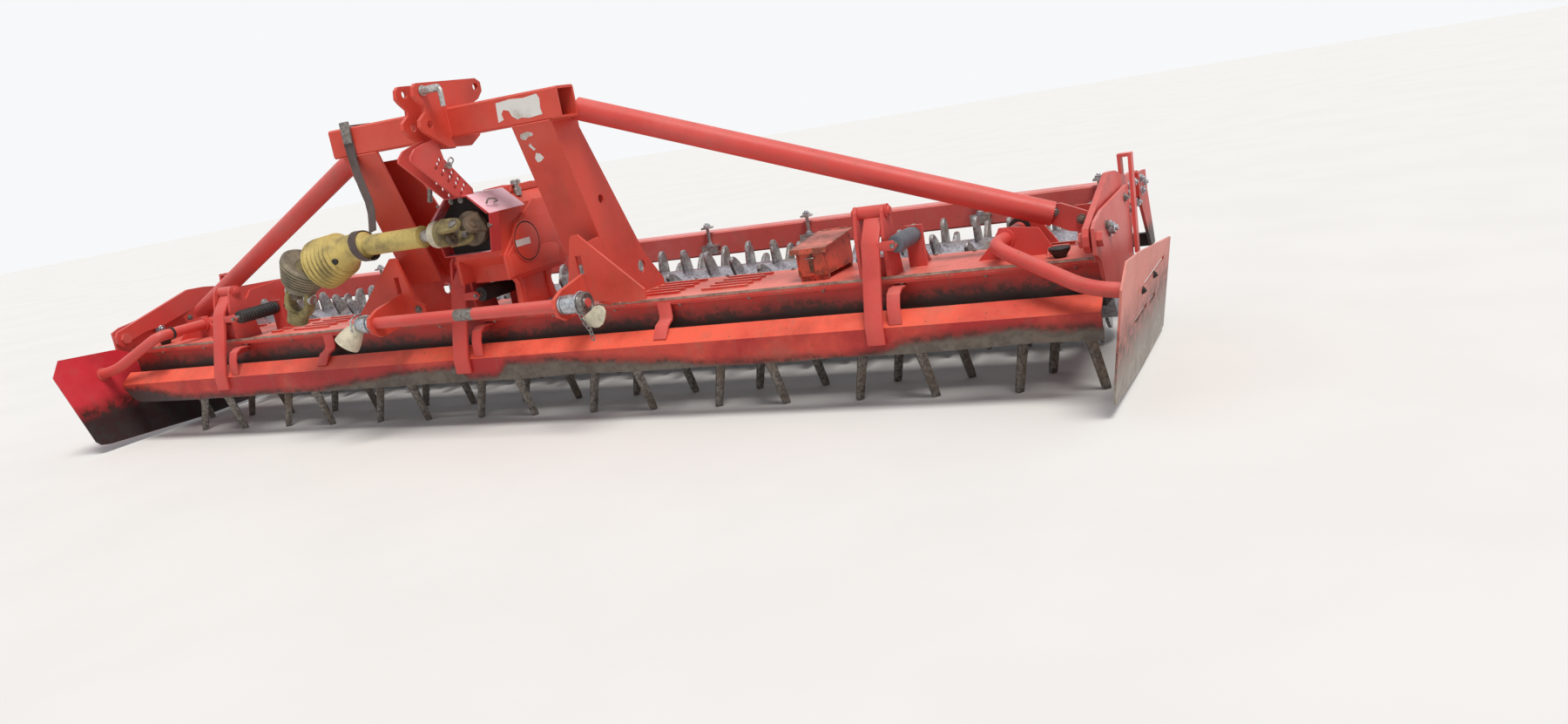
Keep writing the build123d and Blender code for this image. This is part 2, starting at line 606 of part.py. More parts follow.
for name, side in SIDES:
    web_start, web_thickness = plate_between(side, LEG_OUTER - LEG_PLATE, LEG_OUTER)
    lip_start, lip_length = plate_between(side, LEG_INNER, LEG_OUTER)
    with BuildPart() as leg:
        with BuildSketch(side_plane(web_start)):
            Polygon(*leg_web, align=None)
            for hole_y, hole_z, radius in WEB_HOLES:
                with Locations((hole_y, hole_z)):
                    Circle(radius, mode=Mode.SUBTRACT)
        extrude(amount=web_thickness)
        with BuildSketch(side_plane(lip_start)):
            Polygon(*front_lip, align=None)
            Polygon(*rear_lip, align=None)
        extrude(amount=lip_length)
    finish(leg, f"headstock_leg_{name}")

# Gussets in front of the legs, each with an ear of the lower hitch
gusset_outline = [
    (290, 424), (560, 394), (612, 400), (612, 432), (411, 618), (402, 627), (380, 627), (371, 618),
    (330, 470), (290, 452),
]
ear_outline = [
    (GUSSET_Y - GUSSET_PLATE, 500), (-360, 474), (HITCH_Y - 26, HITCH_Z + 22), (HITCH_Y - 34, HITCH_Z - 4),
    (HITCH_Y - 24, HITCH_Z - 32), (HITCH_Y + 14, HITCH_Z - 52), (GUSSET_Y - GUSSET_PLATE, 396),
]
tie_outline = [
    (GUSSET_Y, 400), (GUSSET_Y, 600), (-160, 606), LEG_FRONT_FOOT, (-150, 440), (-150, COVER_TOP),
    (FLANGE_FRONT, COVER_TOP),
]
for name, side in SIDES:
    with BuildPart() as gusset:
        with BuildSketch(front_plane(GUSSET_Y)):
            Polygon(*[(side * across, up) for across, up in gusset_outline], align=None)
            with Locations((side * 390, 530)):
                Rectangle(22, 60, mode=Mode.SUBTRACT)
        extrude(amount=GUSSET_PLATE)
        ear_start, ear_thickness = plate_between(side, EAR_INNER, EAR_INNER + EAR_PLATE)
        with BuildSketch(side_plane(ear_start)):
            Polygon(*ear_outline, align=None)
            with Locations((HITCH_Y, HITCH_Z)):
                Circle(HITCH_BAR_RADIUS + SEAT_CLEARANCE, mode=Mode.SUBTRACT)
        extrude(amount=ear_thickness)
        # Web that ties the gusset back to the leg and down to the trough's cover
        tie_start, tie_thickness = plate_between(side, LEG_OUTER - LEG_PLATE, LEG_OUTER)
        with BuildSketch(side_plane(tie_start)):
            Polygon(*tie_outline, align=None)
        extrude(amount=tie_thickness)
    finish(gusset, f"hitch_gusset_{name}")

# Lower hitch bar with the category 2 pins outboard of the ears
with BuildPart() as hitch_bar:
    for radius, half_length in ((HITCH_BAR_RADIUS, HITCH_SHOULDER), (HITCH_PIN_RADIUS, HITCH_PIN_END)):
        with BuildSketch(side_plane(-half_length)):
            with Locations((HITCH_Y, HITCH_Z)):
                Circle(radius)
        extrude(amount=2 * half_length)
finish(hitch_bar, "lower_hitch_bar")

# Top link head: two cheeks slid over the cross-beam
cheek_head = [
    (-409, 1160), (-395, 1171), (-113, 1171), (-90, 1157), (-91, 1128), (-117, 1104), (-160, 1088),
    (-146, 988), (-199, 959), (-312, 965), (-400, 1019), (-416, 1038), (-412, 1058), (-381, 1080),
    (-378, 1097), (-403, 1119), (-415, 1134),
]
with BuildPart() as head:
    for start in (-CHEEK_OUTER, CHEEK_OUTER - CHEEK_PLATE):
        with BuildSketch(side_plane(start)):
            Polygon(*cheek_head, align=None)
            with Locations(beam_middle):
                Rectangle(beam_depth + 2 * SEAT_CLEARANCE, beam_height + 2 * SEAT_CLEARANCE,
                          mode=Mode.SUBTRACT)
            with Locations(*TOP_HOLES):
                Circle(TOP_BORE_RADIUS, mode=Mode.SUBTRACT)
        extrude(amount=CHEEK_PLATE)
finish(head, "top_link_head")

# Spare top link pin parked in the right cheek's upper hole, with its handle bent down
PIN_START = CHEEK_OUTER - 23
PIN_END = CHEEK_OUTER + 69
HANDLE_END = (PIN_END + 6, TOP_HOLES[0][0] - 4, TOP_HOLES[0][1] - 58)
with BuildPart() as top_pin:
    with BuildSketch(side_plane(PIN_START)):
        with Locations(TOP_HOLES[0]):
            Circle(TOP_PIN_RADIUS)
    extrude(amount=PIN_END - PIN_START)
    handle_foot = (PIN_END - 8, *TOP_HOLES[0])
    with BuildSketch(rod_plane(handle_foot, HANDLE_END)):
        RegularPolygon(8, 8)
    extrude(amount=(Vector(*HANDLE_END) - Vector(*handle_foot)).length)
finish(top_pin, "top_link_pin")

# Perforated strut of two bars, from between the head's cheeks to the guard's roof
STRUT_OUTER = CHEEK_OUTER - CHEEK_PLATE
STRUT_PLATE = 8.0
strut_outline = [
    (STRUT_FRONT, 941), (-450, 974), (-400, 988), (-345, 998), (-330, 930), (-227, 822),
    (-227, GUARD_TOP), (-312, GUARD_TOP),
]
# Rows of square holes: y and z of each middle
STRUT_HOLES = (
    (-400, 952), (-372, 921), (-344, 890), (-316, 859), (-424, 930), (-396, 899), (-368, 868), (-340, 837),
)
with BuildPart() as strut:
    for start in (-STRUT_OUTER, STRUT_OUTER - STRUT_PLATE):
        with BuildSketch(side_plane(start)):
            Polygon(*strut_outline, align=None)
            with Locations(*STRUT_HOLES):
                Rectangle(12, 12, rotation=45, mode=Mode.SUBTRACT)
        extrude(amount=STRUT_PLATE)
finish(strut, "perforated_strut")

# Braces from the ends of the beam to the ends of the trough, each with a flattened, bolted foot
BRACE_RADIUS = 36.0
FOOT_FACE = 100.0
FOOT_PLATE = 16.0
foot_outline = [(1790, 470), (1830, 508), (1862, 508), (1966, 463), (1932, 415), (1880, 425)]
for name, side in SIDES:
    top = (side * 455, BEAM_REAR + BRACE_RADIUS - 0.25, 1012)
    foot = (side * 1838, FOOT_FACE - FOOT_PLATE / 2, 478)
    with BuildPart() as brace:
        with BuildSketch(rod_plane(top, foot)):
            Circle(BRACE_RADIUS)
        extrude(amount=(Vector(*foot) - Vector(*top)).length)
        with BuildSketch(front_plane(FOOT_FACE)):
            Polygon(*[(side * across, up) for across, up in foot_outline], align=None)
        extrude(amount=FOOT_PLATE)
    finish(brace, f"brace_{name}")
with BuildPart() as brace_feet:
    for name, side in SIDES:
        start, length = plate_between(side, 1890, 1944)
        with BuildSketch(side_plane(start)):
            Polygon((FOOT_FACE + 40, COVER_TOP), (176, COVER_TOP), (FOOT_FACE + 50, 490),
                    (FOOT_FACE + 40, 490), align=None)
        extrude(amount=length)
finish(brace_feet, "brace_feet")

# Gearbox: chamfered casting on a ribbed pedestal, with side covers and an input nose
GEARBOX_TOP = 784.0
gearbox_outline = [
    (GEARBOX_FRONT, 592), (GEARBOX_FRONT, GEARBOX_TOP), (135, GEARBOX_TOP), (161, 745), (118, 557),
    (74, 500), (-171, 500), (-180, 558),
]
# The pedestal stands to the right, beside the middle spring
PEDESTAL_X = (-46.0, 90.0)
PEDESTAL_PLATE = 14.0
RIB_PLATE = 10.0
pedestal_outline = [
    (-150, COVER_TOP), (10, COVER_TOP), (-14, 420), (-20, 520), (-150, 520), (-158, 487), (-160, 420),
]
rib_outline = [
    (-178, COVER_TOP), (36, COVER_TOP), (14, 420), (1, 466), (30, 520), (-190, 520), (-171, 487),
    (-178, 420),
]
with BuildPart() as gearbox:
    with BuildSketch(side_plane(-GEARBOX_HALF_WIDTH)):
        Polygon(*gearbox_outline, align=None)
    extrude(amount=2 * GEARBOX_HALF_WIDTH)
    chamfer(gearbox.edges().filter_by(Axis.Y).sort_by(Axis.Z)[-2:], 40)
    with BuildSketch(side_plane(GEARBOX_COVER_X[0])):
        with Locations((-124, 619)):
            Circle(GEARBOX_COVER_RADIUS)
    extrude(amount=GEARBOX_COVER_X[1] - GEARBOX_COVER_X[0])
    with BuildSketch(side_plane(PEDESTAL_X[0])):
        Polygon((-182, COVER_TOP), (44, COVER_TOP), (44, COVER_TOP + PEDESTAL_PLATE),
                (-182, COVER_TOP + PEDESTAL_PLATE), align=None)
        Polygon(*pedestal_outline, align=None)
    extrude(amount=PEDESTAL_X[1] - PEDESTAL_X[0])
    for start in (PEDESTAL_X[0], PEDESTAL_X[1] - RIB_PLATE):
        with BuildSketch(side_plane(start)):
            Polygon(*rib_outline, align=None)
        extrude(amount=RIB_PLATE)
    with BuildSketch(front_plane(GEARBOX_FRONT)):
        with Locations((0, PTO_Z)):
            Circle(NOSE_RADIUS)
    extrude(amount=10)
finish(gearbox, "gearbox")

# Folded guard over the input shaft: a tunnel in front of the gearbox and a roof over its top
GUARD_ROOF_REAR = -100.0
roof_line = [(-125, 738), (-48, GUARD_TOP), (48, GUARD_TOP), (125, 738)]
tunnel_line = roof_line + [(100, 612), (-100, 612)]
with BuildPart() as guard:
    with BuildSketch(front_plane(GEARBOX_FRONT)):
        Polygon(*tunnel_line, align=None)
        offset(amount=-GUARD_SHEET, kind=Kind.INTERSECTION, mode=Mode.SUBTRACT)
    extrude(amount=GEARBOX_FRONT - GUARD_FRONT)
    with BuildSketch(front_plane(GUARD_ROOF_REAR)):
        Polygon(*roof_line, align=None)
        Polygon(*[(across - GUARD_SHEET * across / 62, up - 1.3 * GUARD_SHEET) for across, up in roof_line],
                align=None, mode=Mode.SUBTRACT)
    extrude(amount=GUARD_ROOF_REAR - GUARD_FRONT)
    with BuildSketch(front_plane(GEARBOX_FRONT)):
        Polygon(*tunnel_line, align=None)
        with Locations((0, PTO_Z)):
            RegularPolygon(NOSE_RADIUS + 6, 8, mode=Mode.SUBTRACT)
    extrude(amount=GUARD_SHEET)
finish(guard, "input_guard")

# Drive shaft, parked across the front in its strap: joint, tube, sleeve, bell, second bell and free yoke
SLEEVE = ((-400.0, PTO_Y, 692.0), (-450.0, PTO_Y, 691.0))
SLEEVE_RADIUS = 50.0
RIM_CENTRE = (-628.0, PTO_Y, 643.0)
RIM_RADIUS = 91.5
SECOND_RIM_RADIUS = 74.0
SECOND_BELL = 96.0
with BuildPart() as shaft:
    with BuildSketch(front_plane(GEARBOX_FRONT - 10)):
        with Locations((0, PTO_Z)):
            RegularPolygon(40, 8)
    extrude(amount=GEARBOX_FRONT - 10 - PTO_Y)
    with BuildSketch(rod_plane((20, PTO_Y, 697), SLEEVE[0])):
        Circle(SHAFT_TUBE_RADIUS)
    extrude(amount=20 - SLEEVE[0][0])
    with BuildSketch(rod_plane(*SLEEVE)):
        Circle(SLEEVE_RADIUS)
    extrude(amount=SLEEVE[0][0] - SLEEVE[1][0])
    with BuildPart(rod_plane(SLEEVE[1], RIM_CENTRE)):
        Cone(SLEEVE_RADIUS - 4, RIM_RADIUS, (Vector(*RIM_CENTRE) - Vector(*SLEEVE[1])).length,
             align=(Align.CENTER, Align.CENTER, Align.MIN))
    with BuildSketch(rod_plane((-600, PTO_Y, 652), (-740, PTO_Y, 590))):
        RegularPolygon(34, 8)
    extrude(amount=150)
    with BuildPart(rod_plane(BELL_CENTRE, YOKE_END)):
        Cone(SECOND_RIM_RADIUS, 1.3 * YOKE_RADIUS, SECOND_BELL,
             align=(Align.CENTER, Align.CENTER, Align.MIN))
    with BuildSketch(rod_plane(YOKE_END, BELL_CENTRE)):
        Circle(YOKE_RADIUS)
    extrude(amount=(Vector(*BELL_CENTRE) - Vector(*YOKE_END)).length - SECOND_BELL)
    with BuildSketch(rod_plane(YOKE_END, BELL_CENTRE)):
        Circle(SPLINE_RADIUS)
    extrude(amount=YOKE_BORE, mode=Mode.SUBTRACT)
finish(shaft, "drive_shaft")

# Strap that holds the parked shaft: a loop over the cross-beam, a hanging band and a loop under the tube
STRAP_X = -378.0
STRAP_WIDTH = 38.0
STRAP_SHEET = 3.0
SHAFT_LOOP = SHAFT_TUBE_RADIUS + STRAP_SHEET + 1
TUBE_Z = 693.0
with BuildPart() as strap:
    with BuildSketch(side_plane(STRAP_X - STRAP_WIDTH / 2)):
        Polygon((BEAM_FRONT - STRAP_SHEET, BEAM_LOWER), (BEAM_FRONT - STRAP_SHEET, BEAM_UPPER + STRAP_SHEET),
                (BEAM_REAR + STRAP_SHEET, BEAM_UPPER + STRAP_SHEET),
                (BEAM_REAR + STRAP_SHEET, BEAM_LOWER + 30),
                (BEAM_REAR, BEAM_LOWER + 30), (BEAM_REAR, BEAM_UPPER), (BEAM_FRONT, BEAM_UPPER),
                (BEAM_FRONT, BEAM_LOWER), align=None)
        with Locations((PTO_Y, TUBE_Z)):
            RegularPolygon(SHAFT_LOOP * 1.08, 8, rotation=22.5)
            RegularPolygon(SHAFT_LOOP * 1.08 - STRAP_SHEET, 8, rotation=22.5, mode=Mode.SUBTRACT)
        Polygon((BEAM_FRONT - STRAP_SHEET, BEAM_LOWER), (BEAM_FRONT, BEAM_LOWER),
                (PTO_Y + 1, TUBE_Z + SHAFT_LOOP - STRAP_SHEET),
                (PTO_Y - STRAP_SHEET, TUBE_Z + SHAFT_LOOP - STRAP_SHEET), align=None)
    extrude(amount=STRAP_WIDTH)
finish(strap, "shaft_strap")

# Side deflectors: a leaning plate on a cranked tube that turns in two lugs on the trough
PLATE_OUTLINE = [
    (DEFLECTOR_FRONT, 348), (-406, 409), (-184, 392), (500, 314), (560, 15), (126, 7), (-340, 30),
    (-380, 38), (-396, 56),
]
# Long adjusting slots: y of each end and z
PLATE_SLOTS = ((-40, 370, 275), (-161, 53, 199), (121, 233, 191))
SLOT_HEIGHT = 14.0
CRANK_KNEE = (-275.0, 325.0)
CRANK_END_Z = 310.0
CRANK_SIDES = 16
lean_cos = cos(radians(DEFLECTOR_LEAN))


def up_plate(z):
    """Height z as a distance up the leaning plate."""
    return (z - DEFLECTOR_FOOT_Z) / lean_cos


for name, side in SIDES:
    with BuildPart() as plate:
        with BuildSketch(deflector_plane(side)):
            Polygon(*[(y, up_plate(z)) for y, z in PLATE_OUTLINE], align=None)
            if side > 0:
                for near, far, z in PLATE_SLOTS:
                    with Locations(((near + far) / 2, up_plate(z))):
                        Rectangle(far - near, SLOT_HEIGHT, mode=Mode.SUBTRACT)
        extrude(amount=side * DEFLECTOR_PLATE)
    finish(plate, f"deflector_plate_{name}")
    with BuildPart() as crank:
        with BuildLine():
            bend = FilletPolyline(
                place(side * DEFLECTOR_HINGE_X, 182, DEFLECTOR_HINGE_Z),
                place(side * DEFLECTOR_HINGE_X, -150, DEFLECTOR_HINGE_Z),
                place(side * 1990, *CRANK_KNEE),
                radius=50,
            )
            Line(bend @ 1, place(side * 2140, CRANK_KNEE[0], CRANK_END_Z - 4))
        with BuildSketch(Plane(origin=bend @ 0, z_dir=bend % 0)):
            RegularPolygon(DEFLECTOR_TUBE_RADIUS, CRANK_SIDES)
        sweep(transition=Transition.RIGHT)
        split(bisect_by=deflector_plane(side), keep=Keep.BOTTOM if side > 0 else Keep.TOP)
    finish(crank, f"deflector_crank_{name}")
LUG_PLATE = 10.0
front_lug = [
    (1628, COVER_TOP), (1684, 436), (1698, 468), (1734, 468), (1813, 458), (1846, 400), (1846, COVER_TOP),
]
rear_lug = [(1668, COVER_TOP), (1690, 462), (1732, 470), (1768, 470), (1828, COVER_TOP)]
with BuildPart() as lugs:
    for name, side in SIDES:
        for y, outline in ((0, front_lug), (176, rear_lug)):
            with BuildSketch(front_plane(y)):
                Polygon(*[(side * across, up) for across, up in outline], align=None)
                with Locations((side * DEFLECTOR_HINGE_X, DEFLECTOR_HINGE_Z)):
                    Circle(DEFLECTOR_TUBE_RADIUS + SEAT_CLEARANCE, mode=Mode.SUBTRACT)
            extrude(amount=LUG_PLATE)
        start, thickness = plate_between(side, 1838, 1846)
        with BuildSketch(side_plane(start)):
            Polygon((-52, COVER_TOP), (0, COVER_TOP), (0, 400), (-30, 400), align=None)
        extrude(amount=thickness)
finish(lugs, "deflector_lugs")

# Tool box on two feet, with a sloping lid that turns on a pin along its rear edge
BOX_X = 1129.5
BOX_WIDTH = 93.0
BOX_FRONT = -85.0
BOX_REAR = 135.0
BOX_FLOOR = 396.0
BOX_FRONT_Z = 480.0
BOX_REAR_Z = 497.0
BOX_WALL = 4.0
BOX_FOOT = 16.0
LID_SEAT = 0.4
LID_PLATE = 4.0
LID_OVERHANG = 14.0
KNUCKLE_RADIUS = 4.5
lid_slope = (BOX_REAR_Z - BOX_FRONT_Z) / (BOX_REAR - BOX_FRONT)
HINGE_Y = BOX_REAR + KNUCKLE_RADIUS + 0.5
HINGE_Z = BOX_REAR_Z + LID_SEAT + KNUCKLE_RADIUS
with BuildPart() as tool_box:
    with BuildSketch(side_plane(BOX_X - BOX_WIDTH / 2)):
        Polygon((BOX_FRONT, BOX_FLOOR), (BOX_REAR, BOX_FLOOR), (BOX_REAR, BOX_REAR_Z),
                (BOX_FRONT, BOX_FRONT_Z), align=None)
        for y in (BOX_FRONT + BOX_FOOT, BOX_REAR - BOX_FOOT):
            with Locations((y, (BOX_FLOOR + COVER_TOP) / 2)):
                Rectangle(BOX_FOOT, BOX_FLOOR - COVER_TOP)
    extrude(amount=BOX_WIDTH)
    with BuildSketch(side_plane(BOX_X - BOX_WIDTH / 2 + BOX_WALL)):
        Polygon((BOX_FRONT + BOX_WALL, BOX_FLOOR + BOX_WALL), (BOX_REAR - BOX_WALL, BOX_FLOOR + BOX_WALL),
                (BOX_REAR - BOX_WALL, BOX_REAR_Z + 5), (BOX_FRONT + BOX_WALL, BOX_FRONT_Z + 5), align=None)
    extrude(amount=BOX_WIDTH - 2 * BOX_WALL, mode=Mode.SUBTRACT)
finish(tool_box, "tool_box")
lid_front = BOX_FRONT - LID_OVERHANG
lid_front_z = BOX_FRONT_Z - LID_OVERHANG * lid_slope + LID_SEAT
lid_outline = [
    (lid_front, lid_front_z), (BOX_REAR, BOX_REAR_Z + LID_SEAT), (HINGE_Y, BOX_REAR_Z + LID_SEAT + 2),
    (HINGE_Y, BOX_REAR_Z + LID_SEAT + LID_PLATE + 2), (lid_front, lid_front_z + LID_PLATE),
]
lid_half = BOX_WIDTH / 2 + LID_OVERHANG
with BuildPart() as lid:
    with BuildSketch(side_plane(BOX_X - lid_half)):
        Polygon(*lid_outline, align=None)
        Polygon((lid_front, lid_front_z - 12), (lid_front + BOX_WALL / 2, lid_front_z - 12),
                (lid_front + BOX_WALL / 2, lid_front_z + 1), (lid_front, lid_front_z + 1), align=None)
    extrude(amount=2 * lid_half)
    with BuildSketch(side_plane(BOX_X - BOX_WIDTH / 2)):
        with Locations((HINGE_Y, HINGE_Z)):
            Circle(KNUCKLE_RADIUS)
    extrude(amount=BOX_WIDTH)
finish(lid, "tool_box_lid")
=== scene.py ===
"""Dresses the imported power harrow: finishes for every CAD node and the modelled pieces round them.

Metres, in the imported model's own frame: X across the machine, -Y the direction of travel, +Z up.
Places along Y are given from the line of the rotor axes, which lies ROTOR_LINE from the origin.
"""
import json
import logging
import math
import random
from dataclasses import dataclass, field
from enum import Enum
from typing import Any, Optional, Sequence

import bpy
from mathutils import Matrix, Vector

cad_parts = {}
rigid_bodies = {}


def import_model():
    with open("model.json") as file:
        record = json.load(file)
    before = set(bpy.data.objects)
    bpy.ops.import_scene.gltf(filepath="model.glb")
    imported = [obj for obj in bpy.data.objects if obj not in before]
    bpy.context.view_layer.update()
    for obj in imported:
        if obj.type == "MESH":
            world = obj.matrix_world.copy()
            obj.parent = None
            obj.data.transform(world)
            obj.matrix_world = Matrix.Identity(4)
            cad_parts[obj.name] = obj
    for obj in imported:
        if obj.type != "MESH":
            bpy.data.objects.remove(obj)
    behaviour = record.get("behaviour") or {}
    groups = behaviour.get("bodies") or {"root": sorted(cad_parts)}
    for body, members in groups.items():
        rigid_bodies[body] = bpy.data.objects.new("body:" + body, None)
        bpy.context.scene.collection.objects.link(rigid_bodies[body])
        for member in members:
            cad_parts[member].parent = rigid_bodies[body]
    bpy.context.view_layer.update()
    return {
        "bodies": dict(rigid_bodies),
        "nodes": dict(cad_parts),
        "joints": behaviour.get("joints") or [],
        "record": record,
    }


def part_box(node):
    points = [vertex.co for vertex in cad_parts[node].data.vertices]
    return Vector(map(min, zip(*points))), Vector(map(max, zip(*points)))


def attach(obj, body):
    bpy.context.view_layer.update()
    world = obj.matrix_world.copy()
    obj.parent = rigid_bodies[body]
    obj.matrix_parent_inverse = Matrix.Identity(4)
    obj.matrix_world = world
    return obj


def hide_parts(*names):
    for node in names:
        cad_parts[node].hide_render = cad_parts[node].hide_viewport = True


logging.basicConfig(level=logging.INFO, format="%(message)s")
log = logging.getLogger("harrow")

Colour = tuple[float, float, float]
Point = tuple[float, float, float]
Outline = Sequence[tuple[float, float]]
Item = bpy.types.Object
ROTOR_LINE = -0.171
ROUNDED_CORNER = math.radians(32)
SMOOTHED_CORNER = math.radians(34)
MERGE_DISTANCE = 0.00001
BEND_STEPS = 8

DRY_SOIL: Colour = (0.20, 0.155, 0.115)
RUST: Colour = (0.17, 0.085, 0.045)
DARK_RUST: Colour = (0.15, 0.075, 0.045)
STAIN: Colour = (0.07, 0.018, 0.014)
LEFT_END_DARK: Colour = (0.04, 0.035, 0.034)


def spot(x: float, y: float, z: float) -> Vector:
    """Point in the frame from millimetres, with y counted from the rotor line."""
    return Vector((x / 1000, y / 1000 + ROTOR_LINE, z / 1000))


def scaled(colour: Colour, factor: float) -> Colour:
    """A colour with each part multiplied by a factor."""
    return tuple(part * factor for part in colour)


class Socket:
    """A node's output, or a plain number, that can be used in sums."""

    def __init__(self, graph: "Graph", output: Any) -> None:
        """Wrap an output of a graph's node."""
        self.graph = graph
        self.output = output

    def _sum(self, operation: str, *terms: Any) -> "Socket":
        """Add one Math node.

        Args:
            operation: The Math node's operation.
            terms: Its inputs, as sockets or numbers.

        Returns:
            The node's value.
        """
        return self.graph.node("ShaderNodeMath", {"operation": operation}, dict(enumerate(terms)))

    def __add__(self, other: Any) -> "Socket":
        """Add a value."""
        return self._sum("ADD", self, other)

    def __radd__(self, other: Any) -> "Socket":
        """Add to a value."""
        return self._sum("ADD", other, self)

    def __sub__(self, other: Any) -> "Socket":
        """Take a value away."""
        return self._sum("SUBTRACT", self, other)

    def __rsub__(self, other: Any) -> "Socket":
        """Take this away from a value."""
        return self._sum("SUBTRACT", other, self)

    def __mul__(self, other: Any) -> "Socket":
        """Multiply by a value."""
        return self._sum("MULTIPLY", self, other)

    def __rmul__(self, other: Any) -> "Socket":
        """Multiply a value by this."""
        return self._sum("MULTIPLY", other, self)

    def clamped(self) -> "Socket":
        """This value kept from 0 to 1."""
        return self.graph.node("ShaderNodeClamp", {}, {"Value": self})

    def most(self, other: Any) -> "Socket":
        """The greater of this and a value."""
        return self._sum("MAXIMUM", self, other)

    def ramp(self, low: float, high: float) -> "Socket":
        """This value stretched so that low gives 0 and high gives 1, smoothly."""
        return self.graph.node(
            "ShaderNodeMapRange", {"interpolation_type": "SMOOTHSTEP"},
            {"Value": self, "From Min": low, "From Max": high},
        )


class Graph:
    """The node tree of one material."""

    def __init__(self, name: str) -> None:
        """Start a material with its shader and output."""
        self.material = bpy.data.materials.new(name)
        self.material.use_nodes = True
        self.tree = self.material.node_tree
        self.shader = self.tree.nodes["Principled BSDF"]
        self.place = self.node("ShaderNodeTexCoord", {}, {}, "Object")
        self.facing = self.split(self.node("ShaderNodeTexCoord", {}, {}, "Normal"))
        self.at = self.split(self.place)

    def node(self, kind: str, settings: dict[str, Any], inputs: dict[Any, Any], out: Any = 0) -> Socket:
        """Add a node.

        Args:
            kind: The node's type.
            settings: Its own properties, set first.
            inputs: Values or sockets for its inputs, by name or number.
            out: The name or number of the output to give back.

        Returns:
            That output.
        """
        made = self.tree.nodes.new(kind)
        for key, value in settings.items():
            setattr(made, key, value)
        for key, value in inputs.items():
            if isinstance(value, Socket):
                self.tree.links.new(value.output, made.inputs[key])
            else:
                made.inputs[key].default_value = value
        return Socket(self, made.outputs[out])

    def split(self, vector: Socket) -> tuple[Socket, Socket, Socket]:
        """The three parts of a vector."""
        made = self.node("ShaderNodeSeparateXYZ", {}, {0: vector}).output.node
        return tuple(Socket(self, made.outputs[i]) for i in range(3))

    def noise(self, scale: float, detail: float = 4, roughness: float = 0.55,
              stretch: Point = (1, 1, 1)) -> Socket:
        """Cloudy noise over the piece.

        Args:
            scale: Lumps per metre.
            detail: Octaves of finer lumps.
            roughness: How strong the finer lumps are.
            stretch: Factors on each axis, small along the direction of a streak.

        Returns:
            A value near 0.5.
        """
        where = self.node("ShaderNodeMapping", {}, {"Vector": self.place, "Scale": stretch})
        return self.node("ShaderNodeTexNoise", {},
                         {"Vector": where, "Scale": scale, "Detail": detail, "Roughness": roughness})

    def blend(self, mask: Any, low: Any, high: Any) -> Socket:
        """Colour low where the mask is 0 and high where it is 1."""
        def shade(value: Any) -> Any:
            """The value as an input takes it."""
            return value if isinstance(value, Socket) else (*value, 1)
        return self.node("ShaderNodeMix", {"data_type": "RGBA"}, {0: mask, 6: shade(low), 7: shade(high)}, 2)

    def edges(self, radius: float) -> Socket:
        """1 along sharp edges and 0 on flat faces."""
        rounded = self.node("ShaderNodeBevel", {"samples": 4}, {"Radius": radius})
        true_normal = self.node("ShaderNodeNewGeometry", {}, {}, "Normal")
        match = self.node("ShaderNodeVectorMath", {"operation": "DOT_PRODUCT"}, {0: rounded, 1: true_normal},
                          "Value")
        return (1 - match).ramp(0.02, 0.22)

    def finish(self, colour: Any, roughness: Any, metallic: Any = 0.0, bump: Optional[Socket] = None,
               depth: float = 0.001, strength: float = 0.5) -> bpy.types.Material:
        """Feed the shader.

        Args:
            colour: Base colour, a socket or a plain colour.
            roughness: Roughness, a socket or a number.
            metallic: Metallic, a socket or a number.
            bump: Height for the surface's relief.
            depth: The relief's depth in metres.
            strength: How strongly the relief shows.

        Returns:
            The material.
        """
        for name, value in (("Base Color", colour), ("Roughness", roughness), ("Metallic", metallic)):
            if isinstance(value, Socket):
                self.tree.links.new(value.output, self.shader.inputs[name])
            else:
                self.shader.inputs[name].default_value = (*value, 1) if isinstance(value, tuple) else value
        if bump is not None:
            relief = self.node("ShaderNodeBump", {},
                               {"Height": bump, "Distance": depth, "Strength": strength})
            self.tree.links.new(relief.output, self.shader.inputs["Normal"])
        return self.material


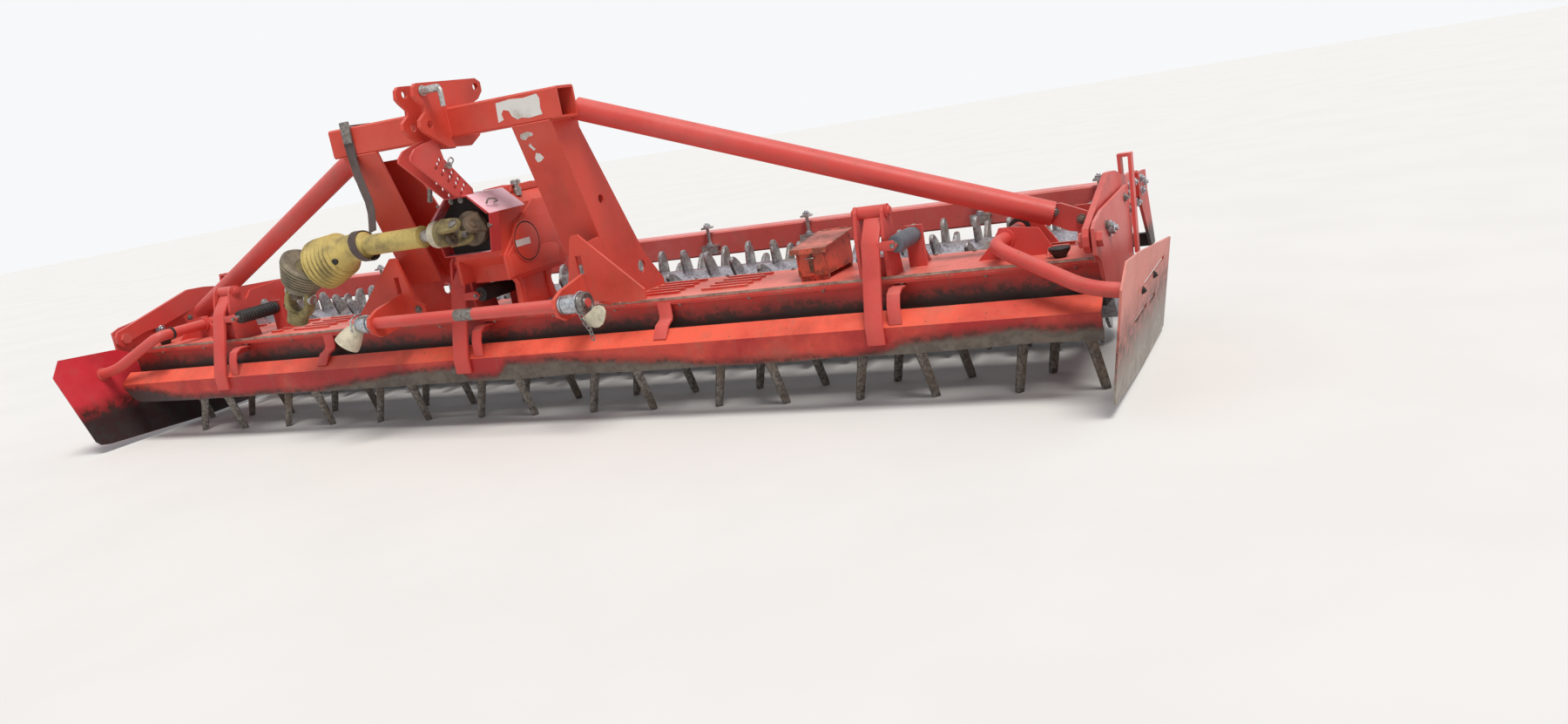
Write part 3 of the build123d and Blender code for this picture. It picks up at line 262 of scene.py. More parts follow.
@dataclass(frozen=True)
class Paint:
    """Weathered paint over steel."""

    name: str
    colour: Colour
    # The paler top colour, and how strongly upward faces take it: real sun-bleaching together with painted
    # top light.
    faded_and_lit: Colour
    fade_and_top_light: float = 0.5
    chips: float = 0.35
    dirt: float = 0.35
    worn_below: float = 0.0
    worn_colour: Colour = (0.12, 0.10, 0.085)
    worn_soft: float = 0.08
    roughness: float = 0.45
    cast: float = 0.0
    edge_wear: float = 0.8
    streaks: float = 0.3
    under: Colour = (0.055, 0.04, 0.034)
    edge_radius: float = 0.004
    waves: bool = False

    def make(self) -> bpy.types.Material:
        """Build the material: paler tops, partly real sun-bleaching and partly painted top light, dirt below
        and in patches, chips and worn edges.
        """
        g = Graph(self.name)
        broad = g.noise(2.2, 3)
        fine = g.noise(28, 5, 0.65)
        grit = g.noise(160, 4, 0.7)
        upward = g.facing[2].ramp(0.25, 0.95)
        # Upward faces turn paler: part real sun-bleaching, part painted top light standing in for light from
        # above.
        sun = (upward * 0.75 + broad.ramp(0.42, 0.62) * 0.45 - 0.12 + (fine - 0.5) * 0.5) * self.fade_and_top_light
        colour = g.blend(sun.clamped(), self.colour, self.faded_and_lit)
        colour = g.blend(g.noise(6, 4).ramp(0.5, 0.75) * 0.45, colour, scaled(self.colour, 0.62))
        streak = g.noise(34, 4, 0.6, (1, 1, 0.06)).ramp(0.54, 0.74)
        soil = g.noise(9, 6, 0.7).ramp(0.5, 0.72)
        low = (1 - g.at[2].ramp(0.1, 0.5)) * 0.35
        dirt = (soil * (0.55 + low) + streak * self.streaks
                + upward * fine.ramp(0.45, 0.7) * 0.35) * self.dirt
        colour = g.blend(dirt.clamped(), colour, DRY_SOIL)
        spots = g.noise(70, 5, 0.72).ramp(0.665 - 0.07 * self.chips, 0.69)
        edge = g.edges(self.edge_radius) * fine.ramp(0.44, 0.6) * self.edge_wear
        chip = spots.most(edge)
        bare = g.blend(grit.ramp(0.4, 0.62), self.under, RUST)
        colour = g.blend((chip * (0.35 + 0.65 * self.chips)).clamped(), colour, bare)
        rough = self.roughness + dirt * 0.35 + (fine - 0.5) * 0.18
        if self.worn_below:
            height = g.at[2] + (g.noise(5, 5, 0.6) - 0.5) * 0.06 + (fine - 0.5) * 0.02
            if self.waves:
                height = height - self._waves(g)
            stain = 1 - height.ramp(self.worn_below, self.worn_below + self.worn_soft * 1.6 + 0.006)
            colour = g.blend(stain * (0.5 + fine.ramp(0.42, 0.58) * 0.5), colour, STAIN)
            worn = 1 - height.ramp(self.worn_below - self.worn_soft, self.worn_below + self.worn_soft / 2)
            steel = g.blend(fine.ramp(0.38, 0.64), self.worn_colour, scaled(self.worn_colour, 1.7))
            if self.waves:
                # The worn steel turns darker towards the left end of the board.
                steel = g.blend(1 - g.at[0].ramp(-1.7, -1.1), steel, LEFT_END_DARK)
                rust = g.noise(7, 5, 0.7).ramp(0.56, 0.72) * 0.55
                steel = g.blend(rust, steel, DARK_RUST)
            colour = g.blend(worn * 0.94, colour, steel)
        g.shader.inputs["Specular IOR Level"].default_value = 0.32
        relief = fine * 0.25 + grit * (0.12 + self.cast) - chip * 0.5
        return g.finish(colour, rough.clamped(), 0.0, relief, 0.0012 + 0.001 * self.cast,
                        0.35 + 0.3 * self.cast)

    def _waves(self, g: Graph) -> Socket:
        """How far the worn band rises at each place along the board, in metres."""
        x = g.at[0]
        left = (1 - x.ramp(-2.0, -1.5)) * 0.055
        middle = x.ramp(-1.0, -0.25) * 0.052 - x.ramp(0.10, 0.98) * 0.052
        shelter = x.ramp(-0.21, -0.15) * (1 - x.ramp(-0.05, 0.03)) * 0.045
        right = x.ramp(1.2, 1.8) * 0.046 - x.ramp(1.78, 2.0) * 0.016
        return left + middle - shelter + right


@dataclass(frozen=True)
class Steel:
    """Bare steel with soil or rust in its hollows."""

    name: str
    bright: Colour
    dark: Colour
    soil: Colour = (0.13, 0.095, 0.07)
    soil_share: float = 0.5
    shine: float = 0.75
    roughness: float = 0.38
    grain: Point = (1, 1, 1)
    edge_shine: float = 0.4

    def make(self) -> bpy.types.Material:
        """Build the material: metal under patches of dull soil, brightest along its edges."""
        g = Graph(self.name)
        broad = g.noise(7, 5, 0.6)
        fine = g.noise(90, 5, 0.7, self.grain)
        metal = g.blend(fine.ramp(0.35, 0.66), self.dark, self.bright)
        soil = broad.ramp(0.62 - 0.24 * self.soil_share, 0.7) * (0.6 + fine.ramp(0.35, 0.6) * 0.4)
        soil = (soil - g.edges(0.003) * self.edge_shine).clamped()
        caked = g.blend(g.noise(45, 5, 0.7).ramp(0.4, 0.62), self.soil, scaled(self.soil, 1.7))
        colour = g.blend(soil, metal, caked)
        rough = (self.roughness + soil * 0.5 + (fine - 0.5) * 0.25).clamped()
        return g.finish(colour, rough, (1 - soil) * self.shine, fine * 0.4 + soil * 0.6, 0.0015, 0.4)


@dataclass(frozen=True)
class Moulded:
    """Plastic, rubber or webbing: a dull colour with dirt rubbed into it."""

    name: str
    colour: Colour
    dirty: Colour
    share: float = 0.5
    roughness: float = 0.6
    scale: float = 12
    rib: float = 0.0

    def make(self) -> bpy.types.Material:
        """Build the material."""
        g = Graph(self.name)
        patches = g.noise(self.scale, 6, 0.7).ramp(0.6 - 0.3 * self.share, 0.72)
        fine = g.noise(220, 3, 0.6)
        upward = g.facing[2].ramp(0.1, 0.9)
        dirt = (patches * 0.8 + upward * 0.2 * self.share + (fine - 0.5) * 0.3).clamped()
        colour = g.blend(dirt, self.colour, self.dirty)
        rough = (self.roughness + dirt * 0.25).clamped()
        return g.finish(colour, rough, 0.0, fine + patches * 0.5, 0.0006, 0.35)


class Finish(Enum):
    """The finishes on the machine, named for where they are."""

    RED = Paint("red_paint", (0.62, 0.072, 0.060), (0.76, 0.20, 0.175), fade_and_top_light=0.5)
    # Board: a dark base colour as painted shade on the front face and a bright orange top colour as painted
    # top light, over some real sun-bleaching.
    BOARD = Paint("board_paint_lit_top_shaded_front", (0.38, 0.022, 0.022), (0.86, 0.13, 0.075), fade_and_top_light=1.05, chips=0.7,
                  worn_below=0.176, worn_colour=(0.088, 0.077, 0.062), worn_soft=0.014, waves=True)
    TROUGH = Paint("trough_paint", (0.50, 0.035, 0.026), (0.62, 0.10, 0.08), dirt=0.6, chips=1.1,
                   worn_below=0.316, worn_colour=(0.016, 0.012, 0.010), worn_soft=0.022)
    COVER = Paint("cover_paint", (0.66, 0.055, 0.040), (0.84, 0.26, 0.20), fade_and_top_light=0.75, dirt=0.4, chips=0.9,
                  edge_wear=1.0, under=(0.50, 0.36, 0.28), edge_radius=0.006)
    ORANGE = Paint("headstock_paint", (0.64, 0.070, 0.044), (0.76, 0.19, 0.145), fade_and_top_light=0.5, chips=0.2,
                   dirt=0.2)
    CAST = Paint("gearbox_paint", (0.66, 0.068, 0.042), (0.76, 0.17, 0.125), fade_and_top_light=0.45, cast=0.6, dirt=0.3)
    # Guard: upward and slanted faces blend strongly to pale pink, painted top light over some real
    # sun-bleaching.
    GUARD = Paint("guard_paint", (0.56, 0.045, 0.045), (0.90, 0.58, 0.65), fade_and_top_light=1.7, chips=0.2, dirt=0.1)
    # The two deflector plates are one paint in two copies: the left one darker, its worn steel near black, as
    # painted shade on its shaded inner face; the right one paler, as its lit copy.
    PLATE_LEFT = Paint("left_plate_paint_shaded", (0.62, 0.030, 0.045), (0.74, 0.12, 0.13), fade_and_top_light=0.4, chips=0.6,
                       worn_below=0.17, worn_colour=(0.022, 0.018, 0.018), worn_soft=0.035)
    PLATE_RIGHT = Paint("right_plate_paint_lit", (0.64, 0.17, 0.13), (0.76, 0.33, 0.27), fade_and_top_light=0.8, chips=0.5,
                        worn_below=0.16, worn_colour=(0.20, 0.18, 0.155), worn_soft=0.10)
    PANEL = Paint("panel_paint", (0.62, 0.10, 0.085), (0.76, 0.27, 0.25), fade_and_top_light=0.7, chips=0.5)
    ROLLER = Steel("roller_steel", (0.50, 0.48, 0.52), (0.24, 0.22, 0.25), soil_share=0.45, shine=0.8)
    TINE = Steel("tine_steel", (0.30, 0.27, 0.24), (0.10, 0.085, 0.075), soil_share=0.7, shine=0.5,
                 roughness=0.5)
    BARE = Steel("bare_steel", (0.56, 0.55, 0.53), (0.30, 0.28, 0.26), soil_share=0.25)
    RUBBER = Moulded("black_rubber", (0.012, 0.012, 0.013), (0.06, 0.052, 0.045), roughness=0.55)
    YELLOW = Moulded("yellow_guard", (0.56, 0.43, 0.13), (0.20, 0.155, 0.075), share=0.6)
    WEBBING = Moulded("grey_webbing", (0.115, 0.085, 0.08), (0.06, 0.045, 0.04), share=0.6, roughness=0.9)
    CREAM = Moulded("cream_plastic", (0.64, 0.585, 0.44), (0.30, 0.25, 0.18), share=0.5, scale=20)
    WORN_EDGE = Moulded("worn_edge", (0.42, 0.28, 0.22), (0.12, 0.045, 0.035), share=0.9, scale=30)
    WHITE = Moulded("blank_label", (0.74, 0.72, 0.68), (0.40, 0.35, 0.29), share=0.4)
    FIN = Steel("fin_steel", (0.46, 0.45, 0.46), (0.20, 0.185, 0.18), soil_share=0.45, shine=0.7,
                roughness=0.36, edge_shine=0.8)
    SPRING = Moulded("grey_spring_cover", (0.10, 0.115, 0.14), (0.16, 0.14, 0.12), share=0.3, roughness=0.5)
    DULL = Steel("dull_steel", (0.30, 0.28, 0.26), (0.14, 0.12, 0.11), soil_share=0.45, shine=0.6)
    ZINC = Steel("zinc_steel", (0.55, 0.57, 0.60), (0.30, 0.31, 0.33), soil_share=0.2, shine=0.8,
                 roughness=0.32)
    JOINT = Moulded("joint_forging", (0.33, 0.265, 0.10), (0.07, 0.052, 0.034), share=0.95, scale=22)
    NOSE = Moulded("nose_forging", (0.17, 0.12, 0.075), (0.045, 0.033, 0.025), share=0.8, scale=26)
    MUDDY = Moulded("muddy_guard", (0.30, 0.25, 0.16), (0.11, 0.09, 0.07), share=1.1, scale=16)
    # Near-black: grime on the deflector collars and plate bolts, and painted shade in the grooves and inside
    # the guard.
    GRIME = Moulded("black_grime_and_painted_shade", (0.018, 0.014, 0.012), (0.05, 0.038, 0.03), share=0.5, roughness=0.8)
    BOX = Paint("tool_box_paint", (0.62, 0.10, 0.055), (0.62, 0.24, 0.20), chips=1.6, dirt=0.9, edge_wear=1.8,
                edge_radius=0.026, under=(0.03, 0.022, 0.018))


class Finishes:
    """Makes each finish once."""

    def __init__(self) -> None:
        """Start with none made."""
        self.made: dict[Finish, bpy.types.Material] = {}

    def get(self, finish: Finish) -> bpy.types.Material:
        """The material of a finish."""
        if finish not in self.made:
            self.made[finish] = finish.value.make()
        return self.made[finish]

    def dress(self, item: Item, finish: Finish) -> None:
        """Give a whole object one finish."""
        item.data.materials.clear()
        item.data.materials.append(self.get(finish))


class Bench:
    """Models pieces with Blender's own tools and hands them to the frame."""

    def __init__(self, finishes: Finishes) -> None:
        """Keep the finishes that pieces are given."""
        self.finishes = finishes

    def pick(self, items: Sequence[Item]) -> None:
        """Select these objects alone and make the first active."""
        bpy.ops.object.select_all(action="DESELECT")
        for item in items:
            item.select_set(True)
        bpy.context.view_layer.objects.active = items[0]

    def settle(self, item: Item) -> Item:
        """Put a piece's place into its mesh and turn its faces outwards."""
        self.pick([item])
        bpy.ops.object.transform_apply(location=True, rotation=True, scale=True)
        bpy.ops.object.mode_set(mode="EDIT")
        bpy.ops.mesh.select_all(action="SELECT")
        bpy.ops.mesh.remove_doubles(threshold=MERGE_DISTANCE)
        bpy.ops.mesh.normals_make_consistent(inside=False)
        bpy.ops.object.mode_set(mode="OBJECT")
        return item

    def bevel(self, item: Item, width: float, segments: int = 2) -> Item:
        """Round the sharp edges of a piece.

        Args:
            item: The piece.
            width: Width of the rounding in millimetres.
            segments: Faces across the rounding.

        Returns:
            The same piece.
        """
        self.pick([item])
        rounding = item.modifiers.new("rounding", "BEVEL")
        rounding.width = width / 1000
        rounding.segments = segments
        rounding.angle_limit = ROUNDED_CORNER
        bpy.ops.object.modifier_apply(modifier=rounding.name)
        return item

    def thicken(self, sheet: Item, thickness: float, finish: Finish) -> Item:
        """Give a sheet its thickness, half to each side, and its finish.

        Args:
            sheet: The sheet.
            thickness: Its thickness in metres.
            finish: Its finish.

        Returns:
            The same piece.
        """
        self.pick([sheet])
        wall = sheet.modifiers.new("wall", "SOLIDIFY")
        wall.thickness = thickness
        wall.offset = 0
        bpy.ops.object.modifier_apply(modifier=wall.name)
        return self._dressed(sheet, finish)

    def plate(self, outline: Sequence[Vector], depth: Vector, round_by: float = 1.5,
              finish: Optional[Finish] = None) -> Item:
        """A flat plate: an n-sided face set on its outline and extruded.

        Args:
            outline: Its corners in order, in metres.
            depth: The way and distance it is extruded, in metres.
            round_by: Rounding of its edges in millimetres, or 0.
            finish: Its finish.

        Returns:
            The plate.
        """
        bpy.ops.object.select_all(action="DESELECT")
        bpy.ops.mesh.primitive_circle_add(vertices=len(outline), fill_type="NGON", location=(0, 0, 0))
        item = bpy.context.active_object
        for vertex, corner in zip(item.data.vertices, outline):
            vertex.co = corner
        bpy.ops.object.mode_set(mode="EDIT")
        bpy.ops.mesh.select_all(action="SELECT")
        bpy.ops.mesh.extrude_region_move(TRANSFORM_OT_translate={"value": depth})
        bpy.ops.object.mode_set(mode="OBJECT")
        self.settle(item)
        if round_by:
            self.bevel(item, round_by)
        return self._dressed(item, finish)

    def side_plate(self, x: float, outline: Outline, thick: float, round_by: float = 1.5,
                   finish: Optional[Finish] = None) -> Item:
        """A plate across the machine at x, its outline given by y and z in millimetres."""
        depth = Vector((thick / 1000, 0, 0))
        return self.plate([spot(x, y, z) for y, z in outline], depth, round_by, finish)

    def front_plate(self, y: float, outline: Outline, thick: float, round_by: float = 1.5,
                    finish: Optional[Finish] = None) -> Item:
        """A plate that faces forward at y, its outline given by x and z in millimetres."""
        depth = Vector((0, -thick / 1000, 0))
        return self.plate([spot(x, y, z) for x, z in outline], depth, round_by, finish)

    def turned(self, start: Vector, axis: Vector, steps: Outline, sides: int = 32,
               finish: Optional[Finish] = None, hollow: bool = False) -> Item:
        """A turned piece: a ring extruded and resized step by step.

        Args:
            start: Where distances are counted from, in metres.
            axis: Its axis.
            steps: Distance along the axis and radius of each ring, in millimetres.
            sides: Sides of the ring.
            finish: Its finish.
            hollow: Whether its last ring joins its first, instead of both being closed.

        Returns:
            The piece.
        """
        way = axis.normalized()
        first, radius = steps[0]
        at = start + way * first / 1000
        bpy.ops.object.select_all(action="DESELECT")
        bpy.ops.mesh.primitive_circle_add(vertices=sides, radius=radius / 1000, location=at,
                                          rotation=way.to_track_quat("Z", "Y").to_euler())
        item = bpy.context.active_object
        bpy.ops.object.mode_set(mode="EDIT")
        bpy.ops.mesh.select_all(action="SELECT")
        for distance, wide in steps[1:]:
            move = start + way * distance / 1000 - at
            bpy.ops.mesh.extrude_region_move(TRANSFORM_OT_translate={"value": move})
            at = at + move
            if wide != radius:
                bpy.ops.transform.resize(value=(wide / radius,) * 3, center_override=at)
            radius = wide
        bpy.ops.mesh.select_all(action="SELECT")
        if hollow:
            bpy.ops.mesh.select_all(action="DESELECT")
            bpy.ops.mesh.select_non_manifold()
            bpy.ops.mesh.bridge_edge_loops()
        else:
            bpy.ops.mesh.fill_holes(sides=0)
        bpy.ops.object.mode_set(mode="OBJECT")
        return self._dressed(self.settle(item), finish)

    def bar(self, path: Sequence[Vector], radius: float, bend: float = 0.0, sides: int = 12,
            finish: Optional[Finish] = None) -> Item:
        """A round bar or tube along a path, from a curve made a mesh.

        Args:
            path: Its corners in metres.
            radius: Its radius in millimetres.
            bend: How far before and after a corner the bend starts, in millimetres.
            sides: Sides of the bar.
            finish: Its finish.

        Returns:
            The bar.
        """
        points = [path[0]]
        for before, corner, after in zip(path, path[1:], path[2:]):
            reach = min(bend / 1000, (corner - before).length * 0.49, (after - corner).length * 0.49)
            if reach == 0:
                points.append(corner)
                continue
            enter = corner + (before - corner).normalized() * reach
            leave = corner + (after - corner).normalized() * reach
            for i in range(BEND_STEPS + 1):
                t = i / BEND_STEPS
                points.append(enter * (1 - t) ** 2 + corner * 2 * t * (1 - t) + leave * t ** 2)
        points.append(path[-1])
        data = bpy.data.curves.new("bar", "CURVE")
        data.dimensions = "3D"
        line = data.splines.new("POLY")
        line.points.add(len(points) - 1)
        for knot, place in zip(line.points, points):
            knot.co = (*place, 1)
        data.bevel_depth = radius / 1000
        data.bevel_resolution = max(0, sides // 4 - 1)
        data.use_fill_caps = True
        item = bpy.data.objects.new("bar", data)
        bpy.context.scene.collection.objects.link(item)
        self.pick([item])
        bpy.ops.object.convert(target="MESH")
        return self._dressed(self.settle(bpy.context.active_object), finish)

    def bolt(self, size: float, finish: Finish, washer: float = 1.35) -> Item:
        """A hexagon bolt head on its washer at the origin, facing up; size is its radius in millimetres."""
        up = Vector((0, 0, 1))
        parts = [
            self.turned(Vector(), up, [(-2, size * washer), (size * 0.18, size * washer)], 16, finish),
            self.turned(Vector(), up, [(0, size), (size * 0.72, size), (size * 0.82, size * 0.86)], 6,
                        finish),
            self.turned(Vector(), up, [(0, size * 0.5), (size * 1.15, size * 0.5),
                                       (size * 1.25, size * 0.42)], 10, finish),
        ]
        return self.join(parts)

    def join(self, parts: Sequence[Item]) -> Item:
        """Make several pieces one."""
        self.pick(parts)
        bpy.ops.object.join()
        return bpy.context.active_object

    def copies(self, item: Item, places: Sequence[Matrix]) -> Item:
        """Copy a piece to places, each copy with its own mesh, and join them.

        Args:
            item: The piece, modelled at the origin; it becomes the first copy.
            places: Where each copy goes.

        Returns:
            All of them as one piece.
        """
        made = []
        for place in places[1:]:
            self.pick([item])
            bpy.ops.object.duplicate(linked=False)
            copy = bpy.context.active_object
            copy.matrix_world = place
            made.append(copy)
        item.matrix_world = places[0]
        bpy.context.view_layer.update()
        return self.join([item, *made])

    def _dressed(self, item: Item, finish: Optional[Finish]) -> Item:
        """Give a piece its finish, if there is one."""
        if finish is not None:
            self.finishes.dress(item, finish)
        return item

    def hand_over(self, item: Item, name: str, replaced: Sequence[str] = (),
                  body: str = "main_frame") -> None:
        """Name a finished piece, smooth it and hand it to the frame.

        Args:
            item: The piece.
            name: Its name.
            replaced: CAD nodes that it stands for.
            body: The CAD body that it moves with.
        """
        item.name = name
        self.settle(item)
        self.pick([item])
        bpy.ops.object.shade_smooth_by_angle(angle=SMOOTHED_CORNER)
        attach(item, body)
        if replaced:
            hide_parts(*replaced)
        log.info("made %s, %d faces", name, len(item.data.polygons))

    def hand_over_bolts(self, size: float, finish: Finish, places: Sequence[Matrix], name: str,
                        body: str = "main_frame") -> None:
        """Copy one bolt to places and hand them all over as one piece in the given finish."""
        self.hand_over(self.copies(self.bolt(size, finish), places), name, body=body)


def aimed(place: Vector, way: Vector, turn: float = 0.0) -> Matrix:
    """Matrix that stands a piece at a place with its +Z along a way."""
    upright = way.to_track_quat("Z", "Y").to_matrix().to_4x4()
    return Matrix.Translation(place) @ upright @ Matrix.Rotation(turn, 4, "Z")


FRONT = Vector((0, -1, 0))
BACK = Vector((0, 1, 0))
RIGHT = Vector((1, 0, 0))
LEFT = Vector((-1, 0, 0))
UP = Vector((0, 0, 1))
DOWN = Vector((0, 0, -1))


@dataclass
class Yoke:
    """One fork of a universal joint with the caps of its cross."""

    centre: Vector
    back: Vector
    across: Vector
    reach: float = 44.0
    radius: float = 40.0
    base: float = 34.0
    ear: float = 21.0
    ear_thickness: float = 15.0

    def build(self, bench: Bench, finish: Finish, cap_finish: Finish) -> Item:
        """Make the fork.

        Args:
            bench: Where it is made.
            finish: Finish of the forging.
            cap_finish: Finish of the bearing caps.

        Returns:
            The joined fork.
        """
        back = self.back.normalized()
        across = self.across.normalized()
        side = back.cross(across)
        hub = [(self.reach, self.radius * 0.82), (self.reach + 6, self.radius),
               (self.reach + self.base - 4, self.radius), (self.reach + self.base, self.radius - 4)]
        parts = [bench.turned(self.centre, back, hub, 28, finish)]
        for way in (1, -1):
            outline = [(self.reach + 14, -self.radius * 0.62), (self.reach + 14, self.radius * 0.62)]
            for step in range(9):
                angle = math.pi / 2 + math.pi * step / 8
                outline.append((self.ear * math.cos(angle), self.ear * math.sin(angle)))
            inner = across * way * (self.radius - self.ear_thickness) / 1000
            corners = [self.centre + inner + back * a / 1000 + side * b / 1000 for a, b in outline]
            parts.append(bench.plate(corners, across * way * self.ear_thickness / 1000, 3, finish))
            cap = [(self.radius - 30, 11), (self.radius - 3, 11), (self.radius - 3, 15),
                   (self.radius + 3, 15), (self.radius + 4, 12), (self.radius + 1, 11), (self.radius + 1, 4)]
            parts.append(bench.turned(self.centre, across * way, cap, 20, cap_finish))
        return bench.join(parts)


@dataclass
class DriveShaft:
    """The parked drive shaft: joint in the guard, tube, ribbed bell, second bell and free yoke."""

    line_y: float = -330.0
    joint: Point = (26.0, -326.0, 696.0)
    tube_start: float = 131.0
    tube_end: float = 452.0
    tube_radius: float = 35.0
    ribs: int = 6
    rib_pitch: float = 17.5
    # Along the bell and over the crest's radius, for each ring of one rib
    rib: tuple = ((0, -11), (3, -3), (6, 0), (11, 0), (14, -3), (16, -10))
    second_rib: tuple = ((0, -9), (3, -1), (5, 0), (9, 0), (11, -3))
    cross_height: float = 0.112

    def build(self, bench: Bench) -> None:
        """Make and hand over the shaft."""
        line = (spot(-450, self.line_y, 691) - spot(20, self.line_y, 697)).normalized()
        zero = spot(0, self.line_y, 696.8)
        joint = spot(*self.joint)
        pin = Vector((0, -0.72, 0.69))
        begin, tube = self.tube_start, self.tube_radius
        parts = [
            Yoke(joint, line, pin, reach=52, radius=44, base=34, ear=24, ear_thickness=17).build(
                bench, Finish.JOINT, Finish.DULL),
            Yoke(joint, BACK, Vector((0.93, 0, 0.36)), reach=44, radius=58, base=30, ear=27,
                 ear_thickness=20).build(bench, Finish.NOSE, Finish.NOSE),
            bench.turned(zero, line, [(58, 40), (60, 44), (72, 45), (80, 43), (84, 37), (84, 22)], 32,
                         Finish.CREAM),
            bench.turned(zero, line, [(80, 21), (140, 21)], 12, Finish.BARE),
            bench.turned(zero, line, [
                (begin, 24), (begin, tube + 2), (begin + 5, tube + 2), (begin + 6, tube), (380, tube),
                (384, tube + 6), (394, tube + 13), (440, tube + 14), (self.tube_end, tube + 10)], 36,
                Finish.YELLOW),
            self._first_bell(bench), self._middle(bench), self._second_bell(bench), self._free_yoke(bench),
        ]
        bench.hand_over(bench.join(parts), "parked_drive_shaft", ["drive_shaft"])

    def _rib_place(self, number: int) -> tuple[float, float]:
        """Where a rib of the first bell starts and the radius of its crest."""
        return 58 + number * self.rib_pitch, 77 + number * 2.6

    def _first_bell(self, bench: Bench) -> Item:
        """The clean yellow bell with its ribs and its open mouth."""
        start, rim = spot(-446, self.line_y, 691), spot(-628, self.line_y, 643)
        steps = [(-8, 44), (0, 48), (26, 51), (44, 60), (54, 67)]
        grooves = []
        for number in range(self.ribs):
            base, crest = self._rib_place(number)
            steps += [(base + along, crest + over) for along, over in self.rib]
        steps += [(164, 88), (168, 90), (168, 85), (134, 74), (124, 30)]
        bell = bench.turned(start, rim - start, steps, 48, Finish.YELLOW)
        # Near-black rings set in the grooves between the ribs: painted shade in the grooves.
        for number in range(1, self.ribs):
            base, crest = self._rib_place(number)
            grooves.append(bench.turned(start, rim - start, [
                (base - 3, crest - 9), (base + 0.8, crest - 7.5), (base + 0.8, crest - 13),
                (base - 3, crest - 14)], 48, Finish.GRIME, hollow=True))
        axis = (rim - start).normalized()
        out = Vector((0.0, -0.93, -0.36))
        plug = bench.turned(start + axis * 0.050, (out - axis * out.dot(axis)).normalized(),
                            [(50, 11), (66, 11), (67, 8)], 16, Finish.RUBBER)
        return bench.join([bell, plug, *grooves])

    def _middle(self, bench: Bench) -> Item:
        """The double joint between the bells."""
        start, end = spot(-592, self.line_y, 655), spot(-722, self.line_y, 615)
        steps = [(0, 30), (30, 38), (44, 52), (54, 54), (60, 44), (84, 44), (90, 56), (100, 58), (108, 46),
                 (136, 40)]
        return bench.turned(start, end - start, steps, 24, Finish.JOINT)

    def _second_bell(self, bench: Bench) -> Item:
        """The muddy second bell, seen from its mouth, with stacked ribs."""
        start = spot(-690, self.line_y, 654)
        way = Vector((-0.66, 0, -0.75))
        steps = [(0, 50), (-8, 78), (-4, 86), (4, 87)]
        for number in range(self.ribs):
            base = 6 + number * 13
            crest = 87 - number * 4.2
            steps += [(base + along, crest + over) for along, over in self.second_rib]
        steps += [(86, 56), (96, 52), (104, 48), (104, 36), (60, 30)]
        return bench.turned(start, way, steps, 48, Finish.MUDDY)

    def _free_yoke(self, bench: Bench) -> Item:
        """The free yoke: its bored hub, its open fork and the cross in the fork."""
        end = spot(-806, self.line_y, 454)
        up = (spot(-715, self.line_y, 632) - end).normalized()
        across = Vector((0.92, 0.04, -0.47))
        across = (across - up * across.dot(up)).normalized()
        side = up.cross(across)
        hub = bench.turned(end, up, [(0, 17.5), (0, 32), (4, 36), (34, 37), (44, 33), (46, 24), (46, 17.5),
                                     (2, 17.5)], 32, Finish.JOINT)
        right = [(0, 30), (28, 30), (44, 42), (52, 60), (54, 84), (50, 134), (36, 138)]
        inner = [(30, 128), (34, 90), (30, 68), (14, 54)]
        outline = [(-a, b) for a, b in reversed(right)] + right[1:] + inner
        outline += [(-a, b) for a, b in reversed(inner)]
        corners = [end + across * a / 1000 + up * b / 1000 - side * 0.021 for a, b in outline]
        fork = bench.plate(corners, side * 0.042, 7, Finish.JOINT)
        middle = end + up * self.cross_height
        cap = [(30, 20), (55, 20), (58, 17), (58, 13), (55, 12)]
        caps = [bench.turned(middle, across * way, cap, 24, Finish.BARE) for way in (1, -1)]
        cross = bench.turned(middle, side, [(-34, 13), (-32, 16), (32, 16), (34, 13)], 20, Finish.NOSE)
        shank = bench.turned(middle, up, [(-14, 16), (10, 20), (40, 30), (64, 34)], 20, Finish.JOINT)
        return bench.join([hub, fork, *caps, cross, shank])


